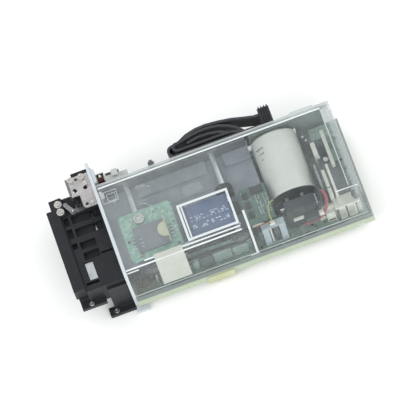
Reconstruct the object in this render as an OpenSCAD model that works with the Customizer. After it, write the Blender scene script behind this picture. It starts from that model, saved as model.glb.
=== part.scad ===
// Motorised card reader for a cash machine or kiosk.
// X = 0 is the middle of the card path, Y = 0 the front face of the clear flange,
// Z = 0 the underside of the base. Cards go in along +Y.

/* [Card path] */
// Width of the card
card_w = 54; // [54:0.2:54.6]
// Height of the card path above the base
path_z = 36; // [35.5:0.1:36.5]
// Clear height of the card path
path_gap = 1.2; // [1:0.1:1.6]

/* [Clear cover] */
// Length of the cover from the flange to its rear
cover_l = 187; // [186:1:192]
// Height of the cover's flat top
cover_top = 59; // [59:0.5:61]
// Wall of the clear mouldings
cover_wall = 2; // [1.6:0.1:2.2]
// Middle of the cover across the reader
cover_mid = 5; // [4.5:0.5:5.5]
// Width of the cover's flat top
cover_flat_w = 70; // [69:0.5:71]

/* [Flange] */
// Thickness of the clear flange
flange_t = 2.5; // [2:0.5:2.5]
// Height of the clear flange
flange_h = 63; // [61:1:66]

/* [Drive] */
// Distance of the front drive shaft behind the flange
front_shaft_y = 23.4; // [23:0.2:24]
// Distance of the rear drive shaft behind the flange
rear_shaft_y = 90.8; // [90:0.2:91.4]
// Diameter of the drive shafts
shaft_d = 5; // [4:0.5:5]
// Radius of the rubber drive rollers
roller_r = 6.1; // [6:0.1:6.1]
// Radius of the rollers below the card
pinch_r = 5.4; // [5.2:0.1:5.4]

/* [Capacitor] */
// Diameter of the back-up capacitor
cap_d = 34.8; // [33:0.2:35]
// Length of the back-up capacitor
cap_l = 48; // [44:1:49]
// Slope of the capacitor down to the near side
cap_tilt = 8; // [5:1:8]

/* [Mounting holes] */
// Spacing of the base holes across the reader
base_hole_x = 60; // [56:1:62]
// Spacing of the base holes along the reader
base_hole_y = 140; // [130:1:144]
// Radius of the base holes
base_hole_r = 1.7; // [1.6:0.1:2.2]
// Spacing of the two holes for a fascia
fascia_hole_x = 60; // [54:1:64]

/* [Hidden] */

$fn = 48;

// Cover: the near wall has the smaller edge radius, the far wall and the rear the larger
near_edge_r = 3;
far_edge_r = 5;
wall_draft = 1.2;
rear_draft = 1.6;
rim_z = 14;
cover_far = cover_mid - cover_flat_w / 2;
cover_near = cover_mid + cover_flat_w / 2;
rim_far = cover_far - far_edge_r - 3.5;
rim_near = cover_near + near_edge_r + 4.3;
rim_rear = cover_l + 1.5;
rim_bottom = 6.5;
rim_wall = 1.5;
// Outer face of the far wall at the height of the fittings on it
wall_outer_x = cover_far - far_edge_r - 0.9;
// Range right across the reader, for cuts that go through it
across = [-60, 60];

// Card path
guide_w_near = 31.8;
guide_w_far = -29.8;
lower_top = path_z - 0.4;
upper_bottom = lower_top + path_gap;
upper_top = upper_bottom + 3.2;
lower_bottom = lower_top - 4;
channel_half = card_w / 2 + 0.4;
guide_end = 118;

// Drive
shaft_z = path_z + 0.5 + roller_r;
pinch_z = path_z - 0.1 - pinch_r;
roller_x = [[-4, 4], [12, 20]];
pulley_r = 6.8;
motor_y = 12;
motor_z = 17.4;
motor_r = 7.8;
running_gap = 0.05;
belt_gap = 0.3;
short_belt_x = [34.6, 37.2];
long_belt_x = [38, 40.4];

// Front mouldings
lip_y = [-39, -30];
lip_x = [-40.5, 37];
lip_z = [31.5, 45];
body_top = 43;
body_bottom = 20;
throat_front = -20;

// Heights of the boards
board_t = 1.6;
main_board_z = 12;
control_board_z = 50;

// Route of the red wire from the rear board to its plug at the near wall
red_route = [
  [27, 157, 45], [29.5, 158.5, 46.5], [33, 159.5, 45.5], [36, 159, 41.5], [37.5, 157.5, 36],
  [38.2, 155, 30.5], [38.4, 151.5, 25.5], [38.3, 147, 22.2], [38, 142.5, 21], [37, 138, 21]
];
// Route of the dark wire, inside the red one
dark_route = [
  [24, 155.5, 45], [26.5, 156, 47.5], [31, 156, 47], [34.4, 155.4, 43], [36, 153.6, 37],
  [36.4, 151.2, 32], [36.4, 148.4, 27.8], [36.2, 145, 25], [35.8, 141.5, 23.8], [35.4, 138, 23.4]
];
wire_r = 1.2;

// ---- Shared shapes ----

// A box from its ranges along X, Y and Z
module block(x, y, z)
  translate([x[0], y[0], z[0]])
    cube([x[1] - x[0], y[1] - y[0], z[1] - z[0]]);

// A round bar along X, Y or Z
module bar_x(x, y, z, r) translate([x[0], y, z]) rotate([0, 90, 0]) cylinder(h = x[1] - x[0], r = r);
module bar_y(y, x, z, r) translate([x, y[0], z]) rotate([-90, 0, 0]) cylinder(h = y[1] - y[0], r = r);
module bar_z(z, x, y, r) translate([x, y, z[0]]) cylinder(h = z[1] - z[0], r = r);

// A flat rectangular ring
module ring(x, y, z, w)
  difference() {
    block(x, y, z);
    block([x[0] + w, x[1] - w], [y[0] + w, y[1] - w], [z[0] - 1, z[1] + 1]);
  }

// A cross-headed screw seen from its head, with its axis along +Z
module screw(head_r, head_h, shank_r, shank_l)
  difference() {
    union() {
      cylinder(h = head_h, r = head_r);
      translate([0, 0, -shank_l]) cylinder(h = shank_l + 0.1, r = shank_r);
    }
    for (turn = [0, 90])
      rotate([0, 0, turn])
        translate([-head_r * 0.55, -head_r * 0.12, head_h * 0.5])
          cube([head_r * 1.1, head_r * 0.24, head_h]);
  }

// Points of an arc
function arc(c, r, from, to, steps = 5) =
  [for (i = [0 : steps]) let (a = from + (to - from) * i / steps) [c[0] + r * cos(a), c[1] + r * sin(a)]];

// A thin wire swept along a route
function unit(v) = v / norm(v);
function route_dir(p, i) = unit(p[min(i + 1, len(p) - 1)] - p[max(i - 1, 0)]);
function wire_ring(p, i, r, sides) =
  let (d = route_dir(p, i), a = unit(cross(d, [0.13, 0.21, 1])), b = cross(d, a))
  [for (k = [0 : sides - 1]) p[i] + r * (a * cos(360 * k / sides) + b * sin(360 * k / sides))];
module wire(p, r, sides = 8) {
  rings = len(p);
  points = [for (i = [0 : rings - 1]) each wire_ring(p, i, r, sides)];
  walls = [for (i = [0 : rings - 2], k = [0 : sides - 1], half = [0, 1])
    let (n = (k + 1) % sides, a = i * sides, b = a + sides)
    half == 0 ? [a + k, a + n, b + n] : [a + k, b + n, b + k]];
  start = [for (k = [sides - 1 : -1 : 0]) k];
  end = [for (k = [0 : sides - 1]) (rings - 1) * sides + k];
  polyhedron(points, concat([start], walls, [end]));
}

// ---- Base ----

module base_holes(r, z)
  for (sx = [-1, 1], sy = [-1, 1])
    bar_z(z, 4 + sx * base_hole_x / 2, cover_l / 2 + sy * base_hole_y / 2, r);

// Folded steel pan with four bosses for the screws that hold the reader down
module base_plate() color("silver") {
  pan_x = [-34, 41];
  pan_y = [6, cover_l - 5];
  difference() {
    union() {
      block(pan_x, pan_y, [0, 1.5]);
      ring(pan_x, pan_y, [0, rim_bottom], 1.5);
      base_holes(4.5, [0, rim_bottom]);
    }
    base_holes(base_hole_r, [-1, rim_bottom + 1]);
  }
}

// Pale moulded tray that carries the main board and the cover
module base_tray() color([0.84, 0.9, 0.82]) {
  x = [rim_far, rim_near];
  y = [flange_t, rim_rear];
  standoffs = [[-30, 30], [-30, 100], [-30, 175], [30, 45], [30, 100], [30, 180]];
  difference() {
    union() {
      block(x, y, [rim_bottom, rim_bottom + 2]);
      ring(x, y, [rim_bottom, rim_z], rim_wall);
      for (p = standoffs) bar_z([rim_bottom, main_board_z], p[0], p[1], 2.5);
    }
    base_holes(base_hole_r + 0.6, [0, main_board_z]);
    block([rim_near - 3, rim_near + 1], [176, 180], [rim_bottom - 1, 9.5]);
  }
}

// Green board over the whole base, cut away round the motor
module main_board() color([0.35, 0.6, 0.45]) {
  difference() {
    block([rim_far + 2, rim_near - 1.8], [flange_t + 2, rim_rear - 2],
          [main_board_z, main_board_z + board_t]);
    block([6, 42], [0, 24], [0, 20]);
    for (p = [[-24, 12], [-24, 182], [2, 182]]) bar_z([0, 20], p[0], p[1], 1.6);
  }
}

// Chips and sockets on the main board, all under the card path
module board_parts() color([0.22, 0.24, 0.25]) {
  z = main_board_z + board_t;
  for (y = [34, 74, 112, 136]) block([-22, -6], [y, y + 14], [z, z + 2]);
  for (y = [40, 84, 148]) block([8, 20], [y, y + 9], [z, z + 1.6]);
  for (y = [28, 66, 104, 160]) bar_z([z, z + 7], 0, y, 3);
  block([-24, 6], [168, 175], [z, z + 8]);
}

// Rows of header pins along the near edge of the main board
module edge_headers() color([0.1, 0.11, 0.11]) {
  z = main_board_z + board_t;
  x = rim_near - 4.2;
  for (row = [[6, 6], [30, 8], [58, 14], [101, 9], [120, 7], [136, 5], [150, 9]])
    for (i = [0 : row[1] - 1])
      block([x, x + 1.4], [row[0] + i * 1.9, row[0] + i * 1.9 + 1.2], [z, z + 0.3]);
}

// ---- Clear cover and flange ----

// Cross-section of the cover; inset gives the inner face
function cover_section(inset) =
  let (far_r = far_edge_r - inset, near_r = near_edge_r - inset,
       far_c = [cover_far, cover_top - far_edge_r], near_c = [cover_near, cover_top - near_edge_r])
  concat(
    [[far_c[0] - far_r - wall_draft, rim_z - (inset > 0 ? 1 : 0)],
     [near_c[0] + near_r + wall_draft, rim_z - (inset > 0 ? 1 : 0)]],
    arc(near_c, near_r, 0, 90),
    arc(far_c, far_r, 90, 180));

// Side outline of the cover, with its rounded and sloping rear
function cover_outline(inset) =
  let (r = far_edge_r - inset, c = [cover_l - far_edge_r - rear_draft, cover_top - far_edge_r])
  concat(
    [[inset > 0 ? 0 : flange_t, rim_z - 1 - inset], [cover_l - inset, rim_z - 1 - inset]],
    arc(c, r, 0, 90),
    [[inset > 0 ? 0 : flange_t, cover_top - inset]]);

module cover_form(inset)
  intersection() {
    translate([0, cover_l + 5, 0]) rotate([90, 0, 0])
      linear_extrude(cover_l + 10) polygon(cover_section(inset));
    translate([across[0], 0, 0]) rotate([90, 0, 90])
      linear_extrude(across[1] - across[0]) polygon(cover_outline(inset));
  }

// Raised edges moulded on the cover: the label frame, the front pads and the rib
module cover_marks() {
  z = [cover_top - 0.5, cover_top + 0.8];
  ring([6, 36.5], [53.4, 93], z, 1.8);
  block([7, 35.5], [56, 57.2], z);
  ring([-25, -15], [3.4, 16], z, 0.9);
  ring([-22.5, -15.9], [7.6, 14.4], z, 0.7);
  for (y = [156, 172]) bar_z([53.5, cover_top + 0.3], cover_far - 2.2, y, 2);
  block([cover_far - 4.2, cover_far - 0.2], [156, 172], [53.5, cover_top + 0.3]);
  block([28, cover_near + 1], [97.7, 99.5], z);
  block([cover_near + near_edge_r - 0.6, cover_near + near_edge_r + 1.4], [97.7, 99.5], [18, cover_top - 2]);
  block([cover_near + near_edge_r - 0.6, cover_near + near_edge_r + 1.7], [93, 99.5], [16.4, 18.2]);
}

module clear_cover() color([0.75, 0.82, 0.8, 0.4]) {
  difference() {
    union() {
      cover_form(0);
      block([rim_far, rim_near], [flange_t, rim_rear], [rim_z, rim_z + 1.2]);
      cover_marks();
    }
    cover_form(cover_wall);
  }
}

// Clear plate across the front, with a stiffening rib behind its far part and a foot at the near corner
flange_far = -53;
module flange_plate() color([0.8, 0.9, 0.88, 0.5]) {
  near = 44;
  corner_r = 5;
  foot_x = [near - 1, near + 6];
  rib_x = [-50, -46.4, wall_outer_x - 0.4];
  difference() {
    union() {
      translate([0, flange_t, 0]) rotate([90, 0, 0]) linear_extrude(flange_t)
        polygon(concat(
          [[flange_far, 0], [near, 0], [near, flange_h]],
          arc([flange_far + corner_r, flange_h - corner_r], corner_r, 90, 180)));
      block(foot_x, [0, 8.5], [0, 3]);
      translate([0, 0, cover_top - 4]) linear_extrude(2)
        polygon([[rib_x[0], flange_t - 0.1], [rib_x[2], flange_t - 0.1],
                 [rib_x[2], flange_t + 2], [rib_x[1], flange_t + 2.8]]);
    }
    block([guide_w_far, guide_w_near], [-1, flange_t + 1], [26, 46]);
    block([-47.6, -44.4], [-1, flange_t + 1], [20.5, 28.2]);
  }
}

// Pale yellow-green catch that holds the cover down on the near side
module cover_latch() color([0.8, 0.86, 0.55]) {
  block([rim_near, rim_near + 1.2], [57, 78], [3.2, 12.5]);
  block([rim_near - 4, rim_near], [57, 78], [3.2, rim_bottom]);
}

// ---- Front mouldings ----

// The mouth that leads the card in, and the slot behind it
module card_cut() {
  mouth_half = channel_half + 1.5;
  block([-channel_half, channel_half], [lip_y[0] - 1, 1], [lower_top, upper_bottom]);
  translate([-mouth_half, 0, 0]) rotate([90, 0, 90]) linear_extrude(2 * mouth_half)
    polygon([[lip_y[0] - 1, path_z - 3.4], [lip_y[0] - 1, path_z + 4],
             [lip_y[1], path_z + 0.8], [lip_y[1], path_z - 0.4]]);
}

module bezel_lip() color([0.17, 0.17, 0.18]) {
  corner = -32.5;
  difference() {
    union() {
      block([corner, lip_x[1]], lip_y, lip_z);
      block([lip_x[0], corner + 0.1], [-35, lip_y[1]], lip_z);
    }
    card_cut();
  }
}

// Black body behind the lip, with open pockets between its ribs
module bezel_body() color([0.17, 0.17, 0.18]) {
  x = [lip_x[0], 39];
  pocket_z = [body_top - 3.5, body_top + 3];
  difference() {
    union() {
      block(x, [lip_y[1], 0], [body_bottom, body_top]);
      block([lip_x[0], -25.4], [lip_y[1], -25.6], [body_top - 0.1, lip_z[1]]);
      block([38, 43.5], [-37.4, -18.3], [22, 26]);
      block([30, 38.1], [-37.4, lip_y[1] + 0.1], [22, lip_z[0] - 0.1]);
    }
    for (p = [[-24, -17], [-14.2, -6], [-1.8, 3]]) block(p, [-29, -25], pocket_z);
    block([-24, -17], [-23, -1.5], pocket_z);
    block([-13, -6], [-23, -1.5], pocket_z);
    for (p = [[-1, 5.2], [8, 14.6]]) block(p, [-23, -11], pocket_z);
    block([12, 13.4], [-10, -1.5], pocket_z);
    block([15.8, 31], [-25, -18], [body_top - 2.4, body_top + 3]);
    block([32.2, 34.6], [-28, -18.4], pocket_z);
    block([lip_x[0] - 1, -25.2], [-25, 1], [upper_top + 1.6, body_top + 3]);
    block([-33, 29], [-8.4, -6.6], [body_bottom - 1, upper_bottom + 3]);
    block([-44, -32], [-8.4, -6.6], [body_bottom - 1, 28.6]);
    card_cut();
  }
}

// Lower block with the mounting foot at the near side
module throat_block() color([0.15, 0.15, 0.16]) {
  difference() {
    union() {
      block([-38, 39], [-15, 0], [0, body_bottom]);
      block([39, 46], [throat_front, 0], [0, 4]);
      block([39, 41], [-15, 0], [0, 38]);
    }
    block([-35, 36], [-12, 1], [-1, body_bottom - 3]);
    for (s = [-1, 1]) bar_y([-16, -11], s * fascia_hole_x / 2, 10, 1.25);
  }
}

// Bright steel plate in the window over the front of the card path
module window_plate() color([0.85, 0.85, 0.82])
  block([16.2, 30.6], [-24.6, -18.4], [body_top - 2.4, body_top - 1.4]);

// Cross-headed screws through the two ledges
module bezel_screws() color([0.3, 0.3, 0.3]) {
  translate([41.3, -29.6, 26]) screw(2, 1.2, 1, 0);
  translate([43.4, -14.4, 4]) screw(2.1, 1.3, 1, 0);
}

// Two large nickel screws with washers on the corner pad
module pad_screws() color([0.85, 0.85, 0.86])
  for (x = [-35.4, -28.8])
    translate([x, -28.7, lip_z[1]]) {
      cylinder(h = 0.6, r = 2.9);
      translate([0, 0, 0.6]) screw(2.2, 1.8, 1, 0);
    }

// Heights of the zinc plate on the block
plate_z = [52.5, 54];
// Black block that stands beside the body and carries the mounting plate
module latch_block() color([0.14, 0.14, 0.15]) {
  block([-52, -41], [-12.6, 0], [30, plate_z[0]]);
  block([-41.1, -33], [-14, 0], [body_top + 0.5, plate_z[0]]);
  for (y = [-15.6, -12.4]) block([-33.1, -27], [y, y + 2.2], [46, 50]);
  block([-33.1, -31.5], [-15.6, -10.2], [46, 50]);
}

// White zinc plate, wide at the far side with a narrow lobe over the body
module mounting_plate() color([0.88, 0.87, 0.85]) {
  far = -48.2;
  near = -20.6;
  lobe_r = 3;
  difference() {
    union() {
      block([far, -32.4], [-16.6, -0.2], plate_z);
      block([-32.5, near - lobe_r], [-10.7, -0.2], plate_z);
      bar_z(plate_z, near - lobe_r, -7.7, lobe_r);
      block([near - lobe_r - 0.1, near], [-7.7, -0.2], plate_z);
      block([far, -34], [-18, -16.5], [46, plate_z[1]]);
    }
    bar_z([50, 56], -45.6, -9.8, 1);
    for (y = [-13.1, -4.9]) bar_z([50, 56], -36.9, y, 1.6);
    bar_z([50, 56], -23.6, -7.6, 1.2);
  }
}

// Nickel screw heads on the zinc plate, and a rivet
module plate_screws() color([0.8, 0.8, 0.78]) {
  for (y = [-14, -5.5]) translate([-46, y, plate_z[1]]) screw(2.5, 1.4, 1, 0);
  for (y = [-14.2, -4]) translate([-39.9, y, plate_z[1]]) screw(1.7, 1, 0.8, 0);
  translate([-23.4, -3.6, plate_z[1]]) cylinder(h = 0.6, r = 1.3);
}

// ---- Entry lever ----

lever_pivot = [-26.4, -19.6];
lever_angle = 210;
lever_l = 8.2;
module lever_bracket() color([0.55, 0.56, 0.56]) {
  z = upper_top + 1.6;
  block([-31.4, -25.4], [-16.6, -2], [z, z + 1.2]);
  block([-29, -25.4], [-21.4, -16.5], [z, z + 1.2]);
  bar_z([z + 1.1, 46], lever_pivot[0], lever_pivot[1], 1.1);
}

// Grey lever with a bright pin, which the card's edge pushes aside
module entry_lever() color([0.5, 0.51, 0.51]) {
  z = [43.2, 44.4];
  difference() {
    union() {
      bar_z(z, lever_pivot[0], lever_pivot[1], 2.2);
      translate([lever_pivot[0], lever_pivot[1], z[0]]) rotate([0, 0, lever_angle]) {
        translate([0, -1.7, 0]) cube([lever_l, 3.4, z[1] - z[0]]);
        translate([lever_l, 0, -0.2]) cylinder(h = 1.6, r = 1.7);
      }
    }
    bar_z([z[0] - 1, z[1] + 1], lever_pivot[0], lever_pivot[1], 1.1 + running_gap);
  }
}

// ---- Shutter and its solenoid ----

shutter_y = [-8, -7];
arm_z = [24.6, 28];
// Steel blade that closes the slot, with an arm out to the solenoid
module shutter_blade() color([0.75, 0.76, 0.77]) {
  block([-28.5, 28.5], shutter_y, [path_z - 6, path_z + 2]);
  block([-32, -28.4], shutter_y, [arm_z[0], path_z + 2]);
  block([-44.7, -31.9], shutter_y, arm_z);
}

solenoid_x = -42.4;
solenoid_y = 7.8;
plunger_r = 1.2;
coil_r = 2.3;
frame_z = [30, 49.4];
// Steel yoke round the coil, with a foot on the flange
module solenoid_frame() color([0.7, 0.72, 0.72]) {
  sheet = 0.8;
  x = [-46.2, -39.2];
  y = [solenoid_y - coil_r - 0.1 - sheet, solenoid_y + coil_r + 0.1 + sheet];
  difference() {
    union() {
      block([x[0], x[0] + sheet], y, frame_z);
      block(x, [y[0], y[0] + sheet], [frame_z[0], frame_z[1] - 1.2]);
      block(x, [y[1] - sheet, y[1]], [frame_z[0], frame_z[1] - 1.2]);
      block(x, y, [frame_z[0], frame_z[0] + sheet]);
      block([x[0] + 2, x[1] - 1], [flange_t, y[0] + 0.1], [32, 44]);
    }
    bar_z([20, 40], solenoid_x, solenoid_y, plunger_r);
  }
}
// Copper winding, dark red under its varnish
module solenoid_coil() color([0.4, 0.16, 0.16])
  difference() {
    bar_z([frame_z[0] + 1.1, frame_z[1] - 1.8], solenoid_x, solenoid_y, coil_r);
    bar_z([20, 52], solenoid_x, solenoid_y, plunger_r);
  }
// Plunger, with the link that reaches through the flange to the shutter's arm
module solenoid_plunger() color([0.7, 0.7, 0.7]) {
  link_x = [-47, -45];
  link_z = [25.3, 27.3];
  bar_z([23.5, 52], solenoid_x, solenoid_y, plunger_r - running_gap);
  block([link_x[0], solenoid_x + 0.8], [solenoid_y - 1, solenoid_y + 1], link_z);
  block(link_x, [-9, solenoid_y], link_z);
}

// ---- Far side outside ----

// White plug and socket on the far wall
module side_connector() color([0.85, 0.86, 0.84]) {
  x = [wall_outer_x - 8.6, wall_outer_x - 0.3];
  socket_y = [11.4, 22.6];
  difference() {
    union() {
      block(x, socket_y, [40, 50]);
      block([x[0] + 2.4, x[1]], [socket_y[1] - 0.1, 28.4], [41, 48.8]);
      block([x[0], x[1] - 3], [16.8, 21.3], [49.9, 52]);
    }
    block([x[0] - 1, x[0] + 2.6], [socket_y[0] + 0.6, 16.3], [46, 51]);
    block([x[0] - 1, x[0] + 2.6], [21.4, 22.2], [46, 51]);
  }
}

module ground_stud() color([0.8, 0.8, 0.8]) {
  stud = [46.7, 47.5];
  bar_x([wall_outer_x - 5, wall_outer_x - 0.3], stud[0], stud[1], 2.5);
  bar_x([wall_outer_x - 6.6, wall_outer_x - 4.9], stud[0], stud[1], 1.5);
}

// Flat black cable, folded back on itself and held in the clamp at both ends, with a shorter turn inside
cable_top = 50;
cable_h = 14;
cable_t = 2;
cable_wall_x = -37.6;
cable_path = concat(
  [[cable_wall_x, 134], [cable_wall_x, 70]],
  arc([cable_wall_x - 4.4, 66], 4.4, 0, -150, 8),
  [[-47.4, 71], [-51, 78], [-53, 86], [-53.4, 94], [-52.4, 104], [-50.6, 114], [-48, 123],
   [-46.2, 130], [-46.2, 134]]);
cable_inner_path = concat(
  [[-38.4, 118], [-40.6, 112], [-41.4, 104], [-41.4, 72]],
  arc([-44.4, 69], 3, 0, -150, 8),
  [[-47.6, 73], [-49.4, 80], [-50.6, 88], [-50.6, 94]]);
cable_return_path = [[-50.6, 93], [-50.4, 97], [-49.4, 103], [-46.6, 110], [-42.6, 115.6], [-38.4, 119.4]];
cable_tongue_path = [[-41.6, 108], [-44.4, 102], [-46, 94], [-46.2, 86], [-44.6, 77]];
function side_of(p, i, d) =
  let (a = unit(p[min(i + 1, len(p) - 1)] - p[max(i - 1, 0)])) p[i] + d * [-a[1], a[0]];
module cable_strip(path, t)
  linear_extrude(cable_h)
    polygon(concat(
      [for (i = [0 : len(path) - 1]) side_of(path, i, t / 2)],
      [for (i = [len(path) - 1 : -1 : 0]) side_of(path, i, -t / 2)]));
module cable_loop() color([0.08, 0.08, 0.08])
  translate([0, 0, cable_top - cable_h]) {
    cable_strip(cable_path, cable_t);
    cable_strip(cable_inner_path, cable_t);
    cable_strip(cable_return_path, cable_t);
    cable_strip(cable_tongue_path, cable_t);
  }

// Ribbed black clamp on the far wall
module cable_clamp() color([0.1, 0.1, 0.1]) {
  x = [-50.5, cover_far - far_edge_r - 1.2];
  block(x, [134, 143], [33, cable_top + 1]);
  for (i = [0 : 3]) block([x[0] - 0.8, x[1]], [135 + i * 2.1, 136 + i * 2.1], [33.4, cable_top + 2]);
}

// ---- Frame of the card path ----

module shaft_bores(r)
  for (y = [front_shaft_y, rear_shaft_y]) bar_x(across, y, shaft_z, r);

// Top of the far side plate, just under the cover
side_plate_top = 53;
module far_side_plate() color([0.72, 0.73, 0.74])
  difference() {
    block([guide_w_far - 1.6, guide_w_far - 0.1], [6, guide_end], [rim_z, side_plate_top]);
    shaft_bores(shaft_d / 2 + running_gap);
  }

module near_side_plate() color([0.8, 0.81, 0.82])
  difference() {
    block([guide_w_near + 0.1, guide_w_near + 1.6], [17, 94], [rim_z, control_board_z]);
    shaft_bores(shaft_d / 2 + running_gap);
    block([20, 40], [50, 80], [19, 30]);
  }

// Windows in a guide for the rollers
module roller_windows(z, long)
  for (y = [front_shaft_y, rear_shaft_y], x = roller_x)
    block([x[0] - 0.8, x[1] + 0.8], [y - long, y + long], z);

// Grey upper guide; the drive shafts lie in its two troughs
module upper_guide() color([0.45, 0.47, 0.49]) {
  difference() {
    union() {
      block([guide_w_far, guide_w_near], [flange_t + 0.1, guide_end], [upper_bottom, upper_top]);
      block([guide_w_far, -19], [30, 84], [upper_top - 0.1, upper_top + 2]);
      block([guide_w_far, -19], [98, guide_end], [upper_top - 0.1, upper_top + 2]);
    }
    roller_windows([upper_bottom - 1, upper_top + 1], 6.4);
    for (y = [front_shaft_y, rear_shaft_y])
      bar_x([guide_w_far - 1, guide_w_near + 1], y, shaft_z, shaft_d / 2 + 0.5);
    block([5.6, 24.4], [100.4, 115.6], [upper_bottom - 1, upper_top + 1]);
  }
}

// Black lower guide, with side rails that set the height of the card path
module lower_guide() color([0.16, 0.16, 0.17]) {
  rail_top = upper_bottom;
  y = [flange_t + 0.1, guide_end];
  difference() {
    union() {
      block([guide_w_far, guide_w_near], y, [lower_bottom, lower_top]);
      block([guide_w_far, -channel_half], y, [lower_top - 0.1, rail_top]);
      block([channel_half, guide_w_near], y, [lower_top - 0.1, rail_top]);
      for (s = [front_shaft_y, rear_shaft_y], x = [[-8.6, -5.6], [21.6, 24.6]])
        block(x, [s - 3.5, s + 3.5], [pinch_z - 4, lower_bottom + 0.1]);
      for (x = [[-27, -24], [26, 29]], s = [30, 98])
        block(x, [s, s + 12], [main_board_z + board_t, lower_bottom + 0.1]);
    }
    roller_windows([lower_bottom - 1, rail_top], 5.9);
    for (s = [front_shaft_y, rear_shaft_y])
      bar_x([-10, 26], s, pinch_z, 1.5 + running_gap);
    block([-22, -9], [48, 60], [lower_bottom - 1, rail_top]);
  }
}

// ---- Drive shafts, rollers and belts ----

module drive_shaft(y, x_end) color([0.83, 0.84, 0.85])
  bar_x([guide_w_far - 2.4, x_end], y, shaft_z, shaft_d / 2);
module front_shaft() drive_shaft(front_shaft_y, long_belt_x[1] - 0.2);
module rear_shaft() drive_shaft(rear_shaft_y, long_belt_x[1] - 0.2);

module drive_rollers(y) color([0.2, 0.2, 0.21])
  for (x = roller_x)
    difference() {
      bar_x(x, y, shaft_z, roller_r);
      bar_x(across, y, shaft_z, shaft_d / 2);
    }
module front_rollers() drive_rollers(front_shaft_y);
module rear_rollers() drive_rollers(rear_shaft_y);

// One toothed face of a pulley, with low flanges
module pulley_wheel(x, y, z, r) {
  teeth = 20;
  difference() {
    bar_x(x, y, z, r);
    for (i = [0 : teeth - 1])
      translate([0, y, z]) rotate([360 * i / teeth, 0, 0])
        block([x[0] - 1, x[1] + 1], [r - 0.4, r + 1], [-0.4, 0.4]);
  }
}
module drive_pulley(y, faces) color([0.9, 0.9, 0.88])
  difference() {
    union()
      for (x = faces) pulley_wheel(x, y, shaft_z, pulley_r);
    bar_x(across, y, shaft_z, shaft_d / 2);
  }
module front_pulley() drive_pulley(front_shaft_y, [short_belt_x, long_belt_x - [0.2, 0.2]]);
module rear_pulley() drive_pulley(rear_shaft_y, [long_belt_x - [0.2, 0.2]]);

module pinch_roller(y) color([0.9, 0.9, 0.86]) {
  for (x = roller_x) bar_x(x, y, pinch_z, pinch_r);
  bar_x([-8.4, 24.4], y, pinch_z, 1.5);
}
module front_pinch_roller() pinch_roller(front_shaft_y);
module rear_pinch_roller() pinch_roller(rear_shaft_y);

module drive_motor() color([0.3, 0.31, 0.32]) {
  bar_x([12, 31.5], motor_y, motor_z, motor_r);
  bar_x([31.4, 33.4], motor_y, motor_z, 3);
  block([14, 30], [motor_y - 5, motor_y + 5], [rim_bottom + 2, motor_z - 6]);
}
motor_pulley_r = 4;
module motor_pulley() color([0.85, 0.76, 0.5]) {
  pulley_wheel(short_belt_x, motor_y, motor_z, motor_pulley_r);
  bar_x([33.5, short_belt_x[0] + 0.1], motor_y, motor_z, 1.2);
}

// A belt round two wheels, each [y, z, radius]
module belt(x, a, b) {
  t = 1;
  difference() {
    hull() for (w = [a, b]) bar_x(x, w[0], w[1], w[2] + belt_gap + t, $fn = 32);
    hull() for (w = [a, b]) bar_x([x[0] - 1, x[1] + 1], w[0], w[1], w[2] + belt_gap, $fn = 32);
  }
}
module short_belt() color([0.1, 0.1, 0.1])
  belt(short_belt_x, [front_shaft_y, shaft_z, pulley_r], [motor_y, motor_z, motor_pulley_r]);
module long_belt() color([0.1, 0.1, 0.1])
  belt(long_belt_x, [front_shaft_y, shaft_z, pulley_r], [rear_shaft_y, shaft_z, pulley_r]);

// ---- Reading stations ----

// Magnetic head under the card, in a window of the lower guide
module magnetic_head() color([0.7, 0.71, 0.72]) {
  x = [-21, -10];
  y = [49, 59];
  block(x, y, [24, path_z - 1.6]);
  translate([x[0], 54, path_z - 1.6]) rotate([0, 90, 0]) intersection() {
    cylinder(h = x[1] - x[0], r = 1.9);
    block([-2, 0.1], [-3, 3], [-1, 20]);
  }
}

// Chip contact block that is pressed down on the card, with its own small board
module contact_block() color([0.35, 0.5, 0.42]) {
  block([6, 24], [100.8, 115.2], [upper_bottom + 1.2, 46]);
  block([6, 36], [99.4, 120], [46, 46 + board_t]);
}

// Steel frame beside the contact station, with two legs down to the base
module contact_frame() color([0.74, 0.77, 0.78]) {
  x = [39.2, 40.8];
  y = [106.7, 124.6];
  leg_w = 4.9;
  top = 42.2;
  sheet = 1.6;
  for (leg_y = [y[0], y[1] - leg_w]) block(x, [leg_y, leg_y + leg_w], [rim_z, top]);
  block([35.4, x[1]], y, [top - sheet, top]);
  block([36.6, x[1]], y, [rim_z, rim_z + sheet]);
}

// ---- Control board on top ----

thumb_screw = [2.3, 24.5];
// Board with cut corners, under the front half of the cover's flat top
module control_board() color([0.3, 0.62, 0.48]) {
  x = [-5, 34];
  y = [9.3, 50];
  z = [control_board_z, control_board_z + board_t];
  corner_cut = 2.8;
  difference() {
    block(x, y, z);
    for (corner_x = x, corner_y = y)
      translate([corner_x, corner_y, z[0] - 1]) rotate([0, 0, 45])
        translate([-corner_cut / 2, -corner_cut / 2, 0]) cube([corner_cut, corner_cut, 4]);
    bar_z([z[0] - 1, z[1] + 1], thumb_screw[0], thumb_screw[1], 1.6);
  }
}

// Large chip in the middle of the control board, its leads and a test header
module controller_chip() color([0.36, 0.37, 0.4]) {
  z = control_board_z + board_t;
  block([8, 29], [17, 41.2], [z, z + 1.8]);
  for (y = [14.2, 43.4], i = [0 : 2])
    block([14 + i * 3, 14.8 + i * 3], [y, y + 2.4], [z, z + 0.6]);
}

// Cream back-up cell beside the chip, under a thin strip
module backup_cell() color([0.82, 0.81, 0.66]) {
  z = control_board_z + board_t + 1.8;
  intersection() {
    bar_z([z, z + 1.4], 17.6, 40.6, 6);
    block([5, 30], [30, 41.2], [z, z + 2]);
  }
  block([7, 29], [41.2, 41.9], [z - 0.1, z + 2]);
}

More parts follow.
